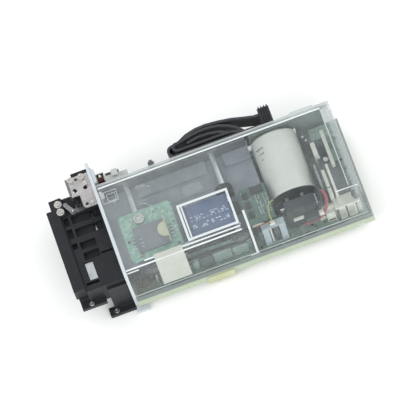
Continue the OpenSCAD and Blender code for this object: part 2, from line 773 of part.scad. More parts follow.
// Thumb screw through the control board, with a knurled edge and a dished top
module knurled_screw() color([0.86, 0.86, 0.86]) {
  knurls = 24;
  head_r = 4.4;
  head_h = 3;
  translate([thumb_screw[0], thumb_screw[1], control_board_z + board_t])
    difference() {
      cylinder(h = head_h, r = head_r);
      for (i = [0 : knurls - 1])
        rotate([0, 0, 360 * i / knurls]) translate([head_r - 0.35, -0.2, -1]) cube([1, 0.4, head_h + 2]);
      translate([0, 0, head_h - 0.8]) cylinder(h = 2, r = 2.6);
    }
}

// Blue label behind the frame in the cover's top
module label_plate() color([0.32, 0.38, 0.52])
  block([8.4, 34.4], [58, 90.6], [cover_top - cover_wall - 0.7, cover_top - cover_wall]);

// Blank paper sticker on the near wall, folded over the top edge
module wall_sticker() color([0.82, 0.83, 0.8])
  difference() {
    intersection() {
      translate([0, 47.7, 0]) rotate([90, 0, 0]) linear_extrude(22.2) polygon(cover_section(-0.25));
      block([36.8, 60], [25, 48], [21, 70]);
    }
    cover_form(0);
  }

// ---- Near side inside ----

module driver_board() color([0.42, 0.62, 0.5])
  block([34.4, 35.6], [50, 97], [main_board_z + board_t, 34]);

// Blocks on the driver board: a relay and two coils in pale shells
module driver_blocks() color([0.5, 0.58, 0.55]) {
  z = 15.5;
  block([35.6, 39.6], [51, 55], [z, 32]);
  block([35.6, 39.8], [56.4, 65.4], [z, 33.6]);
  block([35.6, 40], [66.4, 80.6], [z, 31.4]);
  block([35.6, 40], [81.6, 93.6], [z, 30.4]);
}

// ---- Rear ----

cap_far_top = 55.6;
cap_far_x = -30;
// Sleeved capacitor, sloping down to its terminals at the near side
module capacitor() color([0.86, 0.86, 0.84]) {
  r = cap_d / 2;
  crimp = 2;
  translate([cap_far_x, 137.9, cap_far_top - r]) rotate([0, 90 + cap_tilt, 0]) {
    rotate_extrude($fn = 96)
      polygon(concat(
        [[0, 0]],
        arc([r - crimp, crimp], crimp, -90, 0),
        [[r, cap_l], [r - 1.2, cap_l], [r - 1.2, cap_l - 0.6], [0, cap_l - 0.6]]));
    for (s = [-1, 1]) translate([0, s * 6, cap_l - 0.7]) cylinder(h = 3.4, r = 1.4);
  }
}

// Black holder in front of the capacitor's terminals
module capacitor_holder() color([0.28, 0.29, 0.3]) {
  x = [26, 34];
  y = [127.8, 151.6];
  difference() {
    block(x, y, [main_board_z + board_t, 44]);
    block([x[0] - 1, x[1] - 2], [y[0] + 2, y[1] - 2], [26, 42]);
  }
  block([33.9, 34.9], [y[1] - 5, y[1] - 3], [20, 43]);
}

// Upright boards at the rear: one behind the capacitor, one along the far wall
module rear_board() color([0.4, 0.66, 0.5]) {
  z = main_board_z + board_t;
  block([6, 26], [158.6, 158.6 + board_t], [z, 45.5]);
  far_x = [-32.8, -32.8 + board_t];
  block(far_x, [156, 178], [z, 50.5]);
  block(far_x, [121, 156.1], [38, 50.5]);
}

// Connectors, relay and posts behind the capacitor
module rear_connectors() color([0.86, 0.85, 0.78]) {
  base = main_board_z + board_t;
  near_x = [32.4, 41];
  block([-12, 0], [162, 165.4], [base + 8.5, 45]);
  block([-17, 13], [171.8, 174.4], [base + 8.5, 49]);
  block([8, 33], [167, 169], [base, 44]);
  difference() {
    block(near_x, [163, 178.4], [base, 34.5]);
    for (y = [165, 172]) block([near_x[1] - 3, near_x[1] + 1], [y, y + 5], [base + 3, 30]);
  }
  block([36, 39], [179.4, 182.6], [base, 40]);
}

module red_wire() color([0.72, 0.2, 0.24]) wire(red_route, wire_r);
module dark_wire() color([0.15, 0.15, 0.17]) wire(dark_route, wire_r);

base_plate();
base_tray();
main_board();
board_parts();
edge_headers();
clear_cover();
flange_plate();
cover_latch();
bezel_lip();
bezel_body();
throat_block();
window_plate();
bezel_screws();
pad_screws();
latch_block();
mounting_plate();
plate_screws();
lever_bracket();
entry_lever();
shutter_blade();
solenoid_frame();
solenoid_coil();
solenoid_plunger();
side_connector();
ground_stud();
cable_loop();
cable_clamp();
far_side_plate();
near_side_plate();
upper_guide();
lower_guide();
front_shaft();
front_rollers();
front_pulley();
rear_shaft();
rear_rollers();
rear_pulley();
front_pinch_roller();
rear_pinch_roller();
drive_motor();
motor_pulley();
short_belt();
long_belt();
magnetic_head();
contact_block();
contact_frame();
control_board();
controller_chip();
backup_cell();
knurled_screw();
label_plate();
wall_sticker();
driver_board();
driver_blocks();
capacitor();
capacitor_holder();
rear_board();
rear_connectors();
red_wire();
dark_wire();
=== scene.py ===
import math
import random

import bmesh
import bpy
from mathutils import Matrix, Vector


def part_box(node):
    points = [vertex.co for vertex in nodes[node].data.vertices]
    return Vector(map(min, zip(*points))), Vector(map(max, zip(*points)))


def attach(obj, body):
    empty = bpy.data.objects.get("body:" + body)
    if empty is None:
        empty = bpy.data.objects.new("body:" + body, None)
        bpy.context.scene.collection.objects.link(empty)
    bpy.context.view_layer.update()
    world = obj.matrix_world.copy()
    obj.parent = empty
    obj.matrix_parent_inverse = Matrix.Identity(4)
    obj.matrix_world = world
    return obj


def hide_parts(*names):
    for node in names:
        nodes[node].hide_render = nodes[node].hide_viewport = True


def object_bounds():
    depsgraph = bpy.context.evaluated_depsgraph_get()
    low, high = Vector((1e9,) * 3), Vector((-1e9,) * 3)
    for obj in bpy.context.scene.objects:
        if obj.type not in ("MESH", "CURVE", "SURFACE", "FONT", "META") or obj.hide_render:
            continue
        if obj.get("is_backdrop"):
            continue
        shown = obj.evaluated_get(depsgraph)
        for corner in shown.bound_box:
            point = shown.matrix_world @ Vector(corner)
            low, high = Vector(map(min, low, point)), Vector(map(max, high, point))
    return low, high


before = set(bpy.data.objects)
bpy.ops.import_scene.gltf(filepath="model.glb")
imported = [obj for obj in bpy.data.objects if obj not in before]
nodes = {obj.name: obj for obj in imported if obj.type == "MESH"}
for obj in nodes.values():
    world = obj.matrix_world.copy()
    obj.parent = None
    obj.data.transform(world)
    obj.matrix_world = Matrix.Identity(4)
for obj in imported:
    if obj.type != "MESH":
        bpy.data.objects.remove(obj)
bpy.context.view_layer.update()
scene = bpy.context.scene
MM = 0.001

# ---- Materials ----


def linear(code):
    """Linear colour of an sRGB hex code."""
    parts = [int(code[i:i + 2], 16) / 255 for i in (1, 3, 5)]
    return (*[v / 12.92 if v <= 0.04045 else ((v + 0.055) / 1.055) ** 2.4 for v in parts], 1)


def spacing(size_mm):
    """Pattern scale that gives details of this size in millimetres."""
    return 1 / (size_mm * MM)


def add(tree, kind, inputs=None, **settings):
    """Adds a shader node, sets its options, and fills or links its inputs."""
    made = tree.nodes.new("ShaderNode" + kind)
    for name, value in settings.items():
        setattr(made, name, value)
    for name, value in (inputs or {}).items():
        if isinstance(value, bpy.types.NodeSocket):
            tree.links.new(value, made.inputs[name])
        else:
            made.inputs[name].default_value = value
    return made


def calc(tree, operation, *values):
    """A number worked out from others by one operation."""
    return add(tree, "Math", dict(enumerate(values)), operation=operation).outputs[0]


def fade(tree, place, start_mm, end_mm, start=0, end=1):
    """A number that goes from start to end between two places on an axis, in millimetres."""
    return add(tree, "MapRange", {
        "Value": place, "From Min": start_mm * MM, "From Max": end_mm * MM,
        "To Min": start, "To Max": end}).outputs[0]


def empty_material(name):
    """A material whose tree holds only its output."""
    made = bpy.data.materials.new(name)
    made.use_nodes = True
    made.node_tree.nodes.clear()
    add(made.node_tree, "OutputMaterial")
    return made


def surface(material, shader):
    """Links a shader node to its material's output."""
    tree = material.node_tree
    tree.links.new(shader.outputs[0], tree.nodes["Material Output"].inputs["Surface"])
    return material


def sheet_metal(name, bright, dull, roughness, streak_mm=0.5, along="Y"):
    """Rolled or turned metal: colour clouds, and fine streaks along one axis that catch the light."""
    made = empty_material(name)
    tree = made.node_tree
    place = add(tree, "TexCoord").outputs["Object"]
    cloud_mm = 7
    streak_stretch = 0.04
    squeeze = [1.0, 1.0, 1.0]
    squeeze["XYZ".index(along)] = streak_stretch
    drawn = add(tree, "Mapping", {"Vector": place, "Scale": squeeze}).outputs["Vector"]
    streaks = add(tree, "TexNoise", {"Vector": drawn, "Scale": spacing(streak_mm), "Detail": 4})
    clouds = add(tree, "TexNoise", {"Vector": place, "Scale": spacing(cloud_mm), "Detail": 3})
    share = calc(tree, "MULTIPLY", streaks.outputs["Fac"], clouds.outputs["Fac"])
    spread = add(tree, "MapRange", {"Value": share, "From Min": 0.12, "From Max": 0.42})
    colour = add(tree, "MixRGB", {
        "Fac": spread.outputs[0], "Color1": linear(dull), "Color2": linear(bright)})
    rough = add(tree, "MapRange", {
        "Value": clouds.outputs["Fac"], "To Min": roughness - 0.08, "To Max": roughness + 0.1})
    bump = add(tree, "Bump", {
        "Height": streaks.outputs["Fac"], "Strength": 0.25, "Distance": 0.03 * MM})
    return surface(made, add(tree, "BsdfPrincipled", {
        "Base Color": colour.outputs[0], "Metallic": 1.0, "Roughness": rough.outputs[0],
        "Normal": bump.outputs[0]}))


def moulding(name, colour, second, roughness, grain_mm=0.5, grain_depth_mm=0.02, gloss=0.4):
    """Injection-moulded plastic: a fine grain from the mould, and colour that is not quite even."""
    made = empty_material(name)
    tree = made.node_tree
    place = add(tree, "TexCoord").outputs["Object"]
    cloud_mm = 9
    clouds = add(tree, "TexNoise", {
        "Vector": place, "Scale": spacing(cloud_mm), "Detail": 4, "Roughness": 0.6})
    share = add(tree, "MapRange", {"Value": clouds.outputs["Fac"], "From Min": 0.3, "From Max": 0.7})
    colour_mix = add(tree, "MixRGB", {
        "Fac": share.outputs[0], "Color1": linear(colour), "Color2": linear(second)})
    grain = add(tree, "TexNoise", {"Vector": place, "Scale": spacing(grain_mm), "Detail": 3})
    rough = add(tree, "MapRange", {
        "Value": grain.outputs["Fac"], "To Min": max(roughness - 0.1, 0.03), "To Max": roughness + 0.1})
    bump = add(tree, "Bump", {
        "Height": grain.outputs["Fac"], "Strength": 0.5, "Distance": grain_depth_mm * MM})
    return surface(made, add(tree, "BsdfPrincipled", {
        "Base Color": colour_mix.outputs[0], "Roughness": rough.outputs[0], "Normal": bump.outputs[0],
        "Specular IOR Level": gloss, "IOR": 1.5}))


def board_material(name, mask, copper):
    """Green solder mask with copper tracks and pads showing."""
    track_mm, area_mm, patch_mm, pad_mm = 1.4, 6, 2.4, 1.9
    made = empty_material(name)
    tree = made.node_tree
    place = add(tree, "TexCoord").outputs["Object"]
    turned = add(tree, "Mapping", {"Vector": place, "Rotation": (0, 0, math.radians(90))}).outputs[0]
    runs = [
        add(tree, "TexBrick", {
            "Vector": vector, "Scale": spacing(track_mm * 4), "Mortar Size": 0.018, "Row Height": 0.12,
            "Brick Width": width, "Color1": (0, 0, 0, 1), "Color2": (0, 0, 0, 1), "Mortar": (1, 1, 1, 1)})
        for vector, width in ((place, 0.9), (turned, 1.3))]
    areas = add(tree, "TexNoise", {"Vector": place, "Scale": spacing(area_mm), "Detail": 2})
    here = add(tree, "MapRange", {"Value": areas.outputs["Fac"], "From Min": 0.48, "From Max": 0.5})
    tracks = add(tree, "MixRGB", {
        "Fac": here.outputs[0], "Color1": runs[0].outputs["Color"], "Color2": runs[1].outputs["Color"]})
    patches = add(tree, "TexNoise", {"Vector": place, "Scale": spacing(patch_mm), "Detail": 3})
    light = add(tree, "MapRange", {"Value": patches.outputs["Fac"], "From Min": 0.42, "From Max": 0.68})
    shown = add(tree, "MixRGB", {
        "Fac": 0.55, "Color1": light.outputs[0], "Color2": tracks.outputs[0]})
    green = add(tree, "MixRGB", {
        "Fac": shown.outputs[0], "Color1": linear(mask), "Color2": linear(copper)})
    dots = add(tree, "TexVoronoi", {"Vector": place, "Scale": spacing(pad_mm), "Randomness": 0.55})
    dot = add(tree, "MapRange", {
        "Value": dots.outputs["Distance"], "From Min": 0.17, "From Max": 0.2, "To Min": 1, "To Max": 0})
    few = add(tree, "MapRange", {"Value": patches.outputs["Fac"], "From Min": 0.54, "From Max": 0.56})
    pad = calc(tree, "MULTIPLY", dot.outputs[0], few.outputs[0])
    colour = add(tree, "MixRGB", {
        "Fac": pad, "Color1": green.outputs[0], "Color2": linear("#DDE3DC")})
    raised = calc(tree, "MAXIMUM", tracks.outputs[0], pad)
    bump = add(tree, "Bump", {"Height": raised, "Strength": 0.4, "Distance": 0.05 * MM})
    return surface(made, add(tree, "BsdfPrincipled", {
        "Base Color": colour.outputs[0], "Roughness": 0.32, "Specular IOR Level": 0.4,
        "Normal": bump.outputs[0]}))


def clear_plastic(name, haze, glancing_sheen, whitening, faint_white="#C6CDCD", full_white="#D8DEDF"):
    """Clear polycarbonate: a haze that is heavier on level faces and at both ends, a painted sheen that grows
    at a glancing view and towards the rear shoulder, and whitening, placed by another function, that turns
    whiter as it thickens."""
    made = empty_material(name)
    tree = made.node_tree
    place = add(tree, "TexCoord").outputs["Object"]
    smear_mm = 26
    smears = add(tree, "TexNoise", {
        "Vector": place, "Scale": spacing(smear_mm), "Detail": 5, "Roughness": 0.62})
    uneven = add(tree, "MapRange", {
        "Value": smears.outputs["Fac"], "From Min": 0.3, "From Max": 0.7,
        "To Min": haze * 0.6, "To Max": haze * 1.4})
    normal = add(tree, "SeparateXYZ", {"Vector": add(tree, "NewGeometry").outputs["Normal"]})
    upright = calc(tree, "ABSOLUTE", normal.outputs["Z"])
    level = add(tree, "MapRange", {"Value": upright, "To Min": 0.3, "To Max": 1.2})
    along = add(tree, "SeparateXYZ", {"Vector": place}).outputs["Y"]
    front = fade(tree, along, 30, 120, 1.9, 0.7)
    back = fade(tree, along, 140, 165, 0, 1.5)
    # The haze is scaled up on level faces and towards both ends.
    level_and_end_share = calc(tree, "MULTIPLY", level.outputs[0], calc(tree, "MAXIMUM", front, back))
    haze_here = calc(tree, "MULTIPLY", uneven.outputs[0], level_and_end_share)
    # Painted sheen: whitening that grows at a glancing view, up to nearly full at the rear shoulder.
    facing = add(tree, "LayerWeight", {"Blend": 0.5}).outputs["Facing"]
    steep = calc(tree, "POWER", facing, 2.6)
    glancing_sheen_here = fade(tree, along, 178, 182, glancing_sheen, 0.95)
    cover = calc(tree, "ADD", haze_here, calc(tree, "MULTIPLY", steep, glancing_sheen_here))
    # Whitening from another function: frost on sawn edges, painted highlights on the cover.
    whitening_share = whitening(tree, place)
    white = add(tree, "MapRange", {"Value": whitening_share, "From Min": 0.6, "From Max": 0.85})
    whitening_colour = add(tree, "MixRGB", {
        "Fac": white.outputs[0], "Color1": linear(faint_white), "Color2": linear(full_white)})
    solid = add(tree, "Math", {0: cover, 1: whitening_share}, operation="MAXIMUM", use_clamp=True)
    clear = add(tree, "BsdfTransparent", {"Color": linear("#FBFCFC")})
    milky = add(tree, "BsdfPrincipled", {
        "Base Color": whitening_colour.outputs[0], "Roughness": 0.22, "IOR": 1.58})
    return surface(made, add(tree, "MixShader", {
        0: solid.outputs[0], 1: clear.outputs[0], 2: milky.outputs[0]}))


def marks_and_shoulder_highlights(tree, place):
    """Painted highlights, as whitening, on the cover's raised marks, near rib and rims, and far and rear
    shoulders, where it curves away.
    """
    axes = add(tree, "SeparateXYZ", {"Vector": place})
    x, y, z = (axes.outputs[axis] for axis in "XYZ")
    # Marks stand proud of the flat top; their painted highlight is weaker towards the far side.
    proud = fade(tree, z, 59.05, 59.3, 0, 0.9)
    top = calc(tree, "MULTIPLY", proud, fade(tree, x, -14, 2, 0.5, 1))
    # Painted highlight on the rib outside the near wall, weaker at the rim below it, and on the rim of the
    # rear wall.
    outside = fade(tree, x, 44.25, 44.4)
    rib = calc(tree, "MULTIPLY", outside, fade(tree, z, 15.4, 15.7, 0.38, 0.85))
    edges = calc(tree, "MAXIMUM", rib, fade(tree, y, 187.1, 187.3, 0, 0.6))
    # Painted highlight on the upper part of the far and rear bends.
    far = fade(tree, x, -30.4, -32, 0, 0.6)
    bend = calc(tree, "MAXIMUM", far, fade(tree, y, 178.5, 181.5, 0, 0.35))
    shoulder = calc(tree, "MULTIPLY", bend, fade(tree, z, 44, 49))
    return calc(tree, "MAXIMUM", top, calc(tree, "MAXIMUM", edges, shoulder))


def sawn_edges(tree, place):
    """Frost on the sawn edges of a sheet that lies across the reader, wherever they are."""
    normal = add(tree, "NewGeometry").outputs["Normal"]
    across = calc(tree, "ABSOLUTE", add(tree, "SeparateXYZ", {"Vector": normal}).outputs["Y"])
    return add(tree, "MapRange", {
        "Value": across, "From Min": 0.85, "From Max": 0.5, "To Max": 0.93}).outputs[0]


# ---- Shapes ----


def smooth_shading():
    """A modifier tree that shades every edge flatter than 40 degrees smooth."""
    tree = bpy.data.node_groups.new("smooth_below_40_degrees", "GeometryNodeTree")
    for way in ("INPUT", "OUTPUT"):
        tree.interface.new_socket("Geometry", in_out=way, socket_type="NodeSocketGeometry")
    start = tree.nodes.new("NodeGroupInput")
    end = tree.nodes.new("NodeGroupOutput")
    angle = tree.nodes.new("GeometryNodeInputMeshEdgeAngle")
    limit = tree.nodes.new("FunctionNodeCompare")
    limit.operation = "GREATER_THAN"
    limit.inputs["B"].default_value = math.radians(40)
    shade = tree.nodes.new("GeometryNodeSetMeshNormal")
    shade.mode = "SHARPNESS"
    shade.inputs["Remove Custom"].default_value = True
    shade.inputs["Face Sharpness"].default_value = False
    tree.links.new(angle.outputs["Unsigned Angle"], limit.inputs["A"])
    tree.links.new(limit.outputs["Result"], shade.inputs["Edge Sharpness"])
    tree.links.new(start.outputs[0], shade.inputs["Mesh"])
    tree.links.new(shade.outputs["Mesh"], end.inputs[0])
    return tree


smooth_below_40 = smooth_shading()


def soften(piece, edge_mm=0.2, segments=2, edge_slot=-1):
    """Takes the sharpness off a piece's edges and shades its round faces smooth."""
    weld = piece.modifiers.new("weld", "WELD")
    weld.merge_threshold = 0.002 * MM
    if edge_mm:
        bevel = piece.modifiers.new("edges", "BEVEL")
        bevel.width = edge_mm * MM
        bevel.segments = segments
        bevel.limit_method = "ANGLE"
        bevel.angle_limit = math.radians(42)
        bevel.material = edge_slot
    shade = piece.modifiers.new("shade", "NODES")
    shade.node_group = smooth_below_40
    flats = piece.modifiers.new("flats", "WEIGHTED_NORMAL")
    flats.keep_sharp = True


def dress(material, *names, edge_mm=0.2, segments=2):
    """Gives CAD nodes their material and softened edges."""
    for name in names:
        node = nodes[name]
        node.data.materials.clear()
        node.data.materials.append(material)
        soften(node, edge_mm, segments)


def box(form, x, y, z, slot=0):
    """Adds a block to a form from its ranges in millimetres."""
    made = bmesh.ops.create_cube(form, size=1)["verts"]
    centre = Vector(((x[0] + x[1]) / 2, (y[0] + y[1]) / 2, (z[0] + z[1]) / 2))
    for vertex in made:
        vertex.co = Vector([
            (centre[i] + vertex.co[i] * (r[1] - r[0])) * MM for i, r in enumerate((x, y, z))])
    for face in {face for vertex in made for face in vertex.link_faces}:
        face.material_index = slot


def blocks(form, table):
    """Adds a block for each row of x, y and z ranges and material."""
    for x, y, z, slot in table:
        box(form, x, y, z, slot)


def rod(form, start, end, radius, slot=0, sides=24, end_radius=None):
    """Adds a round bar or cone between two points in millimetres."""
    start, end = Vector(start), Vector(end)
    turn = (end - start).to_track_quat("Z", "Y").to_matrix().to_4x4()
    made = bmesh.ops.create_cone(
        form, cap_ends=True, segments=sides, radius1=radius * MM,
        radius2=(radius if end_radius is None else end_radius) * MM, depth=(end - start).length * MM,
        matrix=Matrix.Translation((start + end) / 2 * MM) @ turn)["verts"]
    for face in {face for vertex in made for face in vertex.link_faces}:
        face.material_index = slot


def face_rod(form, face_x, y, z, height, radius, sides=24):
    """Adds a low round boss on a face that looks along +X."""
    rod(form, (face_x - 0.1, y, z), (face_x + height, y, z), radius, sides=sides)


def on_circle(mid_a, mid_b, radius, degrees):
    """A point on a circle, as its two coordinates."""
    turn = math.radians(degrees)
    return mid_a + radius * math.cos(turn), mid_b + radius * math.sin(turn)


def tube(form, points, radius, slot=0):
    """Sweeps a round wire along a smooth line through points in millimetres."""
    steps, sides = 6, 8
    line = []
    padded = [points[0], *points, points[-1]]
    for i in range(1, len(padded) - 2):
        p = [Vector(q) for q in padded[i - 1:i + 3]]
        for step in range(steps):
            t = step / steps
            line.append(0.5 * (
                2 * p[1] + (p[2] - p[0]) * t
                + (2 * p[0] - 5 * p[1] + 4 * p[2] - p[3]) * t ** 2
                + (3 * p[1] - p[0] - 3 * p[2] + p[3]) * t ** 3))
    line.append(Vector(points[-1]))
    rings, side_way = [], None
    for i, spot in enumerate(line):
        ahead = (line[min(i + 1, len(line) - 1)] - line[max(i - 1, 0)]).normalized()
        if side_way is None:
            side_way = ahead.orthogonal().normalized()
        side_way = (side_way - ahead * side_way.dot(ahead)).normalized()
        other = ahead.cross(side_way)
        rings.append([form.verts.new((spot + radius * (
            side_way * math.cos(2 * math.pi * k / sides) + other * math.sin(2 * math.pi * k / sides))) * MM)
            for k in range(sides)])
    walls = [form.faces.new((a[k], a[(k + 1) % sides], b[(k + 1) % sides], b[k]))
             for a, b in zip(rings, rings[1:]) for k in range(sides)]
    walls += [form.faces.new(rings[0][::-1]), form.faces.new(rings[-1])]
    for wall in walls:
        wall.material_index = slot


def ribbon(form, points, width, thick, across, slot=0):
    """A flat strip that runs through points, its width along one direction."""
    across = Vector(across).normalized() * width / 2
    rows = []
    for i, spot in enumerate(points):
        spot = Vector(spot)
        ahead = (Vector(points[min(i + 1, len(points) - 1)]) - Vector(points[max(i - 1, 0)])).normalized()
        lift = ahead.cross(across).normalized() * thick / 2
        rows.append([form.verts.new((spot + a + b) * MM) for a, b in (
            (-across, -lift), (across, -lift), (across, lift), (-across, lift))])
    faces = [form.faces.new((a[k], a[(k + 1) % 4], b[(k + 1) % 4], b[k]))
             for a, b in zip(rows, rows[1:]) for k in range(4)]
    faces += [form.faces.new(rows[0][::-1]), form.faces.new(rows[-1])]
    for face in faces:
        face.material_index = slot


def piece(name, form, materials, body="reader", slot=None, edge_mm=0.15):
    """Makes a form into a piece of the reader that rides on a body."""
    mesh = bpy.data.meshes.new(name)
    bmesh.ops.recalc_face_normals(form, faces=form.faces)
    form.to_mesh(mesh)
    form.free()
    for material in materials:
        mesh.materials.append(material)
    made = bpy.data.objects.new(name, mesh)
    scene.collection.objects.link(made)
    soften(made, edge_mm)
    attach(made, body)
    return made


def small_parts(form, draw, tries, x, y, z, spared):
    """Scatters chip resistors and capacitors over a board, clear of the spared ranges."""
    body_height, cap_height, cap_length = 0.6, 0.7, 0.3
    for _ in range(tries):
        mid_x, mid_y = draw.uniform(*x), draw.uniform(*y)
        size_x, size_y = draw.choice(((2.0, 1.2), (1.6, 0.8), (3.0, 1.6)))
        if draw.random() < 0.5:
            size_x, size_y = size_y, size_x
        if any(a[0] < mid_x < a[1] and b[0] < mid_y < b[1] for a, b in spared):
            continue
        x_range = (mid_x - size_x / 2, mid_x + size_x / 2)
        y_range = (mid_y - size_y / 2, mid_y + size_y / 2)
        box(form, x_range, y_range, (z, z + body_height), draw.choice((1, 2)))
        for side in (0, 1):
            inward = cap_length * (1 - 2 * side)
            if size_y > size_x:
                cap = (x_range, sorted((y_range[side], y_range[side] + inward)))
            else:
                cap = (sorted((x_range[side], x_range[side] + inward)), y_range)
            box(form, *cap, (z, z + cap_height))


# ---- Studio ----
# A long lens, high over the reader's near side and rolled, with the reader lying slantwise across the view.
# The floor is pale card under four soft lamps and a pale room.
aim = Vector((4.2, 76.0, 30.0)) * MM
camera_distance = 4.0
view_width = 311.1 * MM
camera_height = math.radians(64)
camera_roll = math.radians(20.1)
towards_camera = Vector((math.cos(camera_height), 0, math.sin(camera_height)))
level_up = Vector((-math.sin(camera_height), 0, math.cos(camera_height)))
level_right = Vector((0, 1, 0))
view_right = level_right * math.cos(camera_roll) - level_up * math.sin(camera_roll)
view_up = level_right * math.sin(camera_roll) + level_up * math.cos(camera_roll)

camera = bpy.data.objects.new("camera", bpy.data.cameras.new("camera"))
scene.collection.objects.link(camera)
camera.matrix_world = Matrix.LocRotScale(
    aim + towards_camera * camera_distance,
    Matrix((view_right, view_up, towards_camera)).transposed(),
    None,
)
camera.data.sensor_width = 36
camera.data.lens = camera.data.sensor_width * camera_distance / view_width
camera.data.clip_end = 100
scene.camera = camera
scene.view_settings.view_transform = "Standard"

lamp_distance = 1.7


def lamp(name, direction, power, size):
    """A square soft lamp that looks at the reader from its own direction."""
    light = bpy.data.lights.new(name, "AREA")
    light.energy = power
    light.size = size
    holder = bpy.data.objects.new(name, light)
    scene.collection.objects.link(holder)
    away = Vector(direction).normalized()
    holder.location = aim + away * lamp_distance
    holder.rotation_mode = "QUATERNION"
    holder.rotation_quaternion = away.to_track_quat("Z", "Y")


lamp("lamp_front", (0.35, -0.75, 0.62), 11, 1.1)
lamp("lamp_rear", (-0.1, 0.85, 0.55), 9, 1.1)
lamp("lamp_near", (0.95, 0.15, 0.42), 9, 0.8)
lamp("lamp_far", (-0.9, -0.2, 0.5), 5, 0.5)

room = bpy.data.worlds.new("pale_room")
room.use_nodes = True
background = room.node_tree.nodes["Background"].inputs
background["Color"].default_value = linear("#F4F6F8")
background["Strength"].default_value = 0.84
scene.world = room

floor_radius = 7
floor_gap_mm = 0.2
floor_mesh = bpy.data.meshes.new("floor")
floor_form = bmesh.new()
bmesh.ops.create_circle(floor_form, cap_ends=True, segments=64, radius=floor_radius)
floor_form.to_mesh(floor_mesh)
floor = bpy.data.objects.new("floor", floor_mesh)
scene.collection.objects.link(floor)
floor.location = (0, 0, -floor_gap_mm * MM)
white_card = empty_material("white_card")
surface(white_card, add(white_card.node_tree, "BsdfPrincipled", {
    "Base Color": linear("#FBFBFA"), "Roughness": 0.9, "Specular IOR Level": 0.1}))
floor_mesh.materials.append(white_card)
floor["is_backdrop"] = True

# ---- Base pan ----
# A folded pan of zinc-plated steel that the whole reader stands on, with four bosses for its screws. The zinc
# is dull grey, clouded, with streaks along the sheet's rolling direction.
zinc_sheet = sheet_metal("zinc_plated_steel", "#C9CBC8", "#9FA3A0", 0.38, streak_mm=1.2)
dress(zinc_sheet, "base_plate", edge_mm=0.3)

# ---- Tray ----
# A pale green moulding that carries the main board and closes the cover from below, satin from its mould.
# A yellow-green catch clips over it on the near side.
pale_green = moulding("pale_green_abs", "#AFBAA3", "#A3AF97", 0.35)
dress(pale_green, "base_tray", edge_mm=0.4)
catch_yellow = moulding("yellow_green_acetal", "#BDC1A5", "#AEB38B", 0.35, grain_mm=2)
dress(catch_yellow, "cover_latch", edge_mm=0.4)

# ---- Boards ----
# Glass-fibre boards under green solder mask, with tinned pads and black moulded chips. Under the mask the
# copper shows as paler lines; pads and holes are small bright dots.
main_green = board_material("main_board_mask", "#6D867B", "#A1B4A9")
dress(main_green, "main_board", "driver_board", edge_mm=0)
rear_green = board_material("rear_board_mask", "#6E7C78", "#909D98")
dress(rear_green, "rear_board", edge_mm=0)
control_green = board_material("control_board_mask", "#73A08D", "#B9D6C9")
dress(control_green, "control_board", edge_mm=0)
contact_green = board_material("contact_board_mask", "#4C6259", "#6C857A")
dress(contact_green, "contact_block", edge_mm=0)
chip_black = moulding("epoxy_moulding_black", "#2B2D30", "#343639", 0.5, grain_mm=0.3)
dress(chip_black, "board_parts", "edge_headers", edge_mm=0.15)

# Small parts soldered on the control board round its chip: resistors and capacitors, tinned at both ends.
tin = sheet_metal("tinned_copper", "#E6E8E6", "#C4C8C6", 0.3, streak_mm=0.4)
ceramic = moulding("ceramic_body", "#A8A596", "#8D8A7C", 0.5)
board_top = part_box("control_board")[1].z / MM
control_parts = bmesh.new()
spared_by_chip = [((-3.6, 8.2), (18.0, 31.0)), ((4.5, 30.0), (13.0, 46.6))]
small_parts(control_parts, random.Random(5), 60, (-2.6, 31.6), (11.5, 48.0), board_top, spared_by_chip)
piece("control_board_parts", control_parts, [tin, ceramic, chip_black], slot="green_board", edge_mm=0.08)

# The controller: a square epoxy package in a socket, with formed and tinned leads on two sides.
controller_grey = moulding("controller_epoxy", "#6E7179", "#777B82", 0.42, grain_mm=0.3)
dress(controller_grey, "controller_chip", edge_mm=0.2)
leads = bmesh.new()
lead_start, lead_pitch, lead_width = 18.4, 3, 0.9
low_leads = (board_top + 0.6, board_top + 0.9)
high_leads = (board_top + 1.85, board_top + 2.1)
for lead_y, lead_z in (((14.4, 16.4), low_leads), ((43.6, 45.6), low_leads),
                       ((19.6, 22.2), high_leads), ((47.0, 48.6), high_leads)):
    for i in range(3):
        lead_x = lead_start + i * lead_pitch
        box(leads, (lead_x, lead_x + lead_width), lead_y, lead_z)
piece("controller_leads", leads, [tin], slot="bright_steel", edge_mm=0.06)

# A round backup cell in its cream wrapper stands beside the controller.
cream = moulding("cream_polyester", "#CFCDB2", "#C3C1A2", 0.4)
dress(cream, "backup_cell", edge_mm=0.2)

# ---- Card path ----
# Side plates of stainless sheet, with a fine grain from rolling, hold a grey upper guide and a black lower
# guide. Both guides are moulded, and the card runs between them.
stainless = sheet_metal("stainless_sheet", "#E3E5E6", "#BFC4C7", 0.28, streak_mm=0.35)
dress(stainless, "near_side_plate", edge_mm=0.25)
dull_steel = sheet_metal("dull_stainless_sheet", "#A9ADAF", "#8C9092", 0.42, streak_mm=0.35)
dress(dull_steel, "far_side_plate", edge_mm=0.25)
guide_grey = moulding(
    "grey_polycarbonate_guide", "#8F959C", "#7E858D", 0.38, grain_mm=3, grain_depth_mm=0.06)
dress(guide_grey, "upper_guide", edge_mm=0.3)
path_black = moulding("black_acetal_guide", "#34363A", "#2A2C2F", 0.4)
dress(path_black, "lower_guide", edge_mm=0.3)
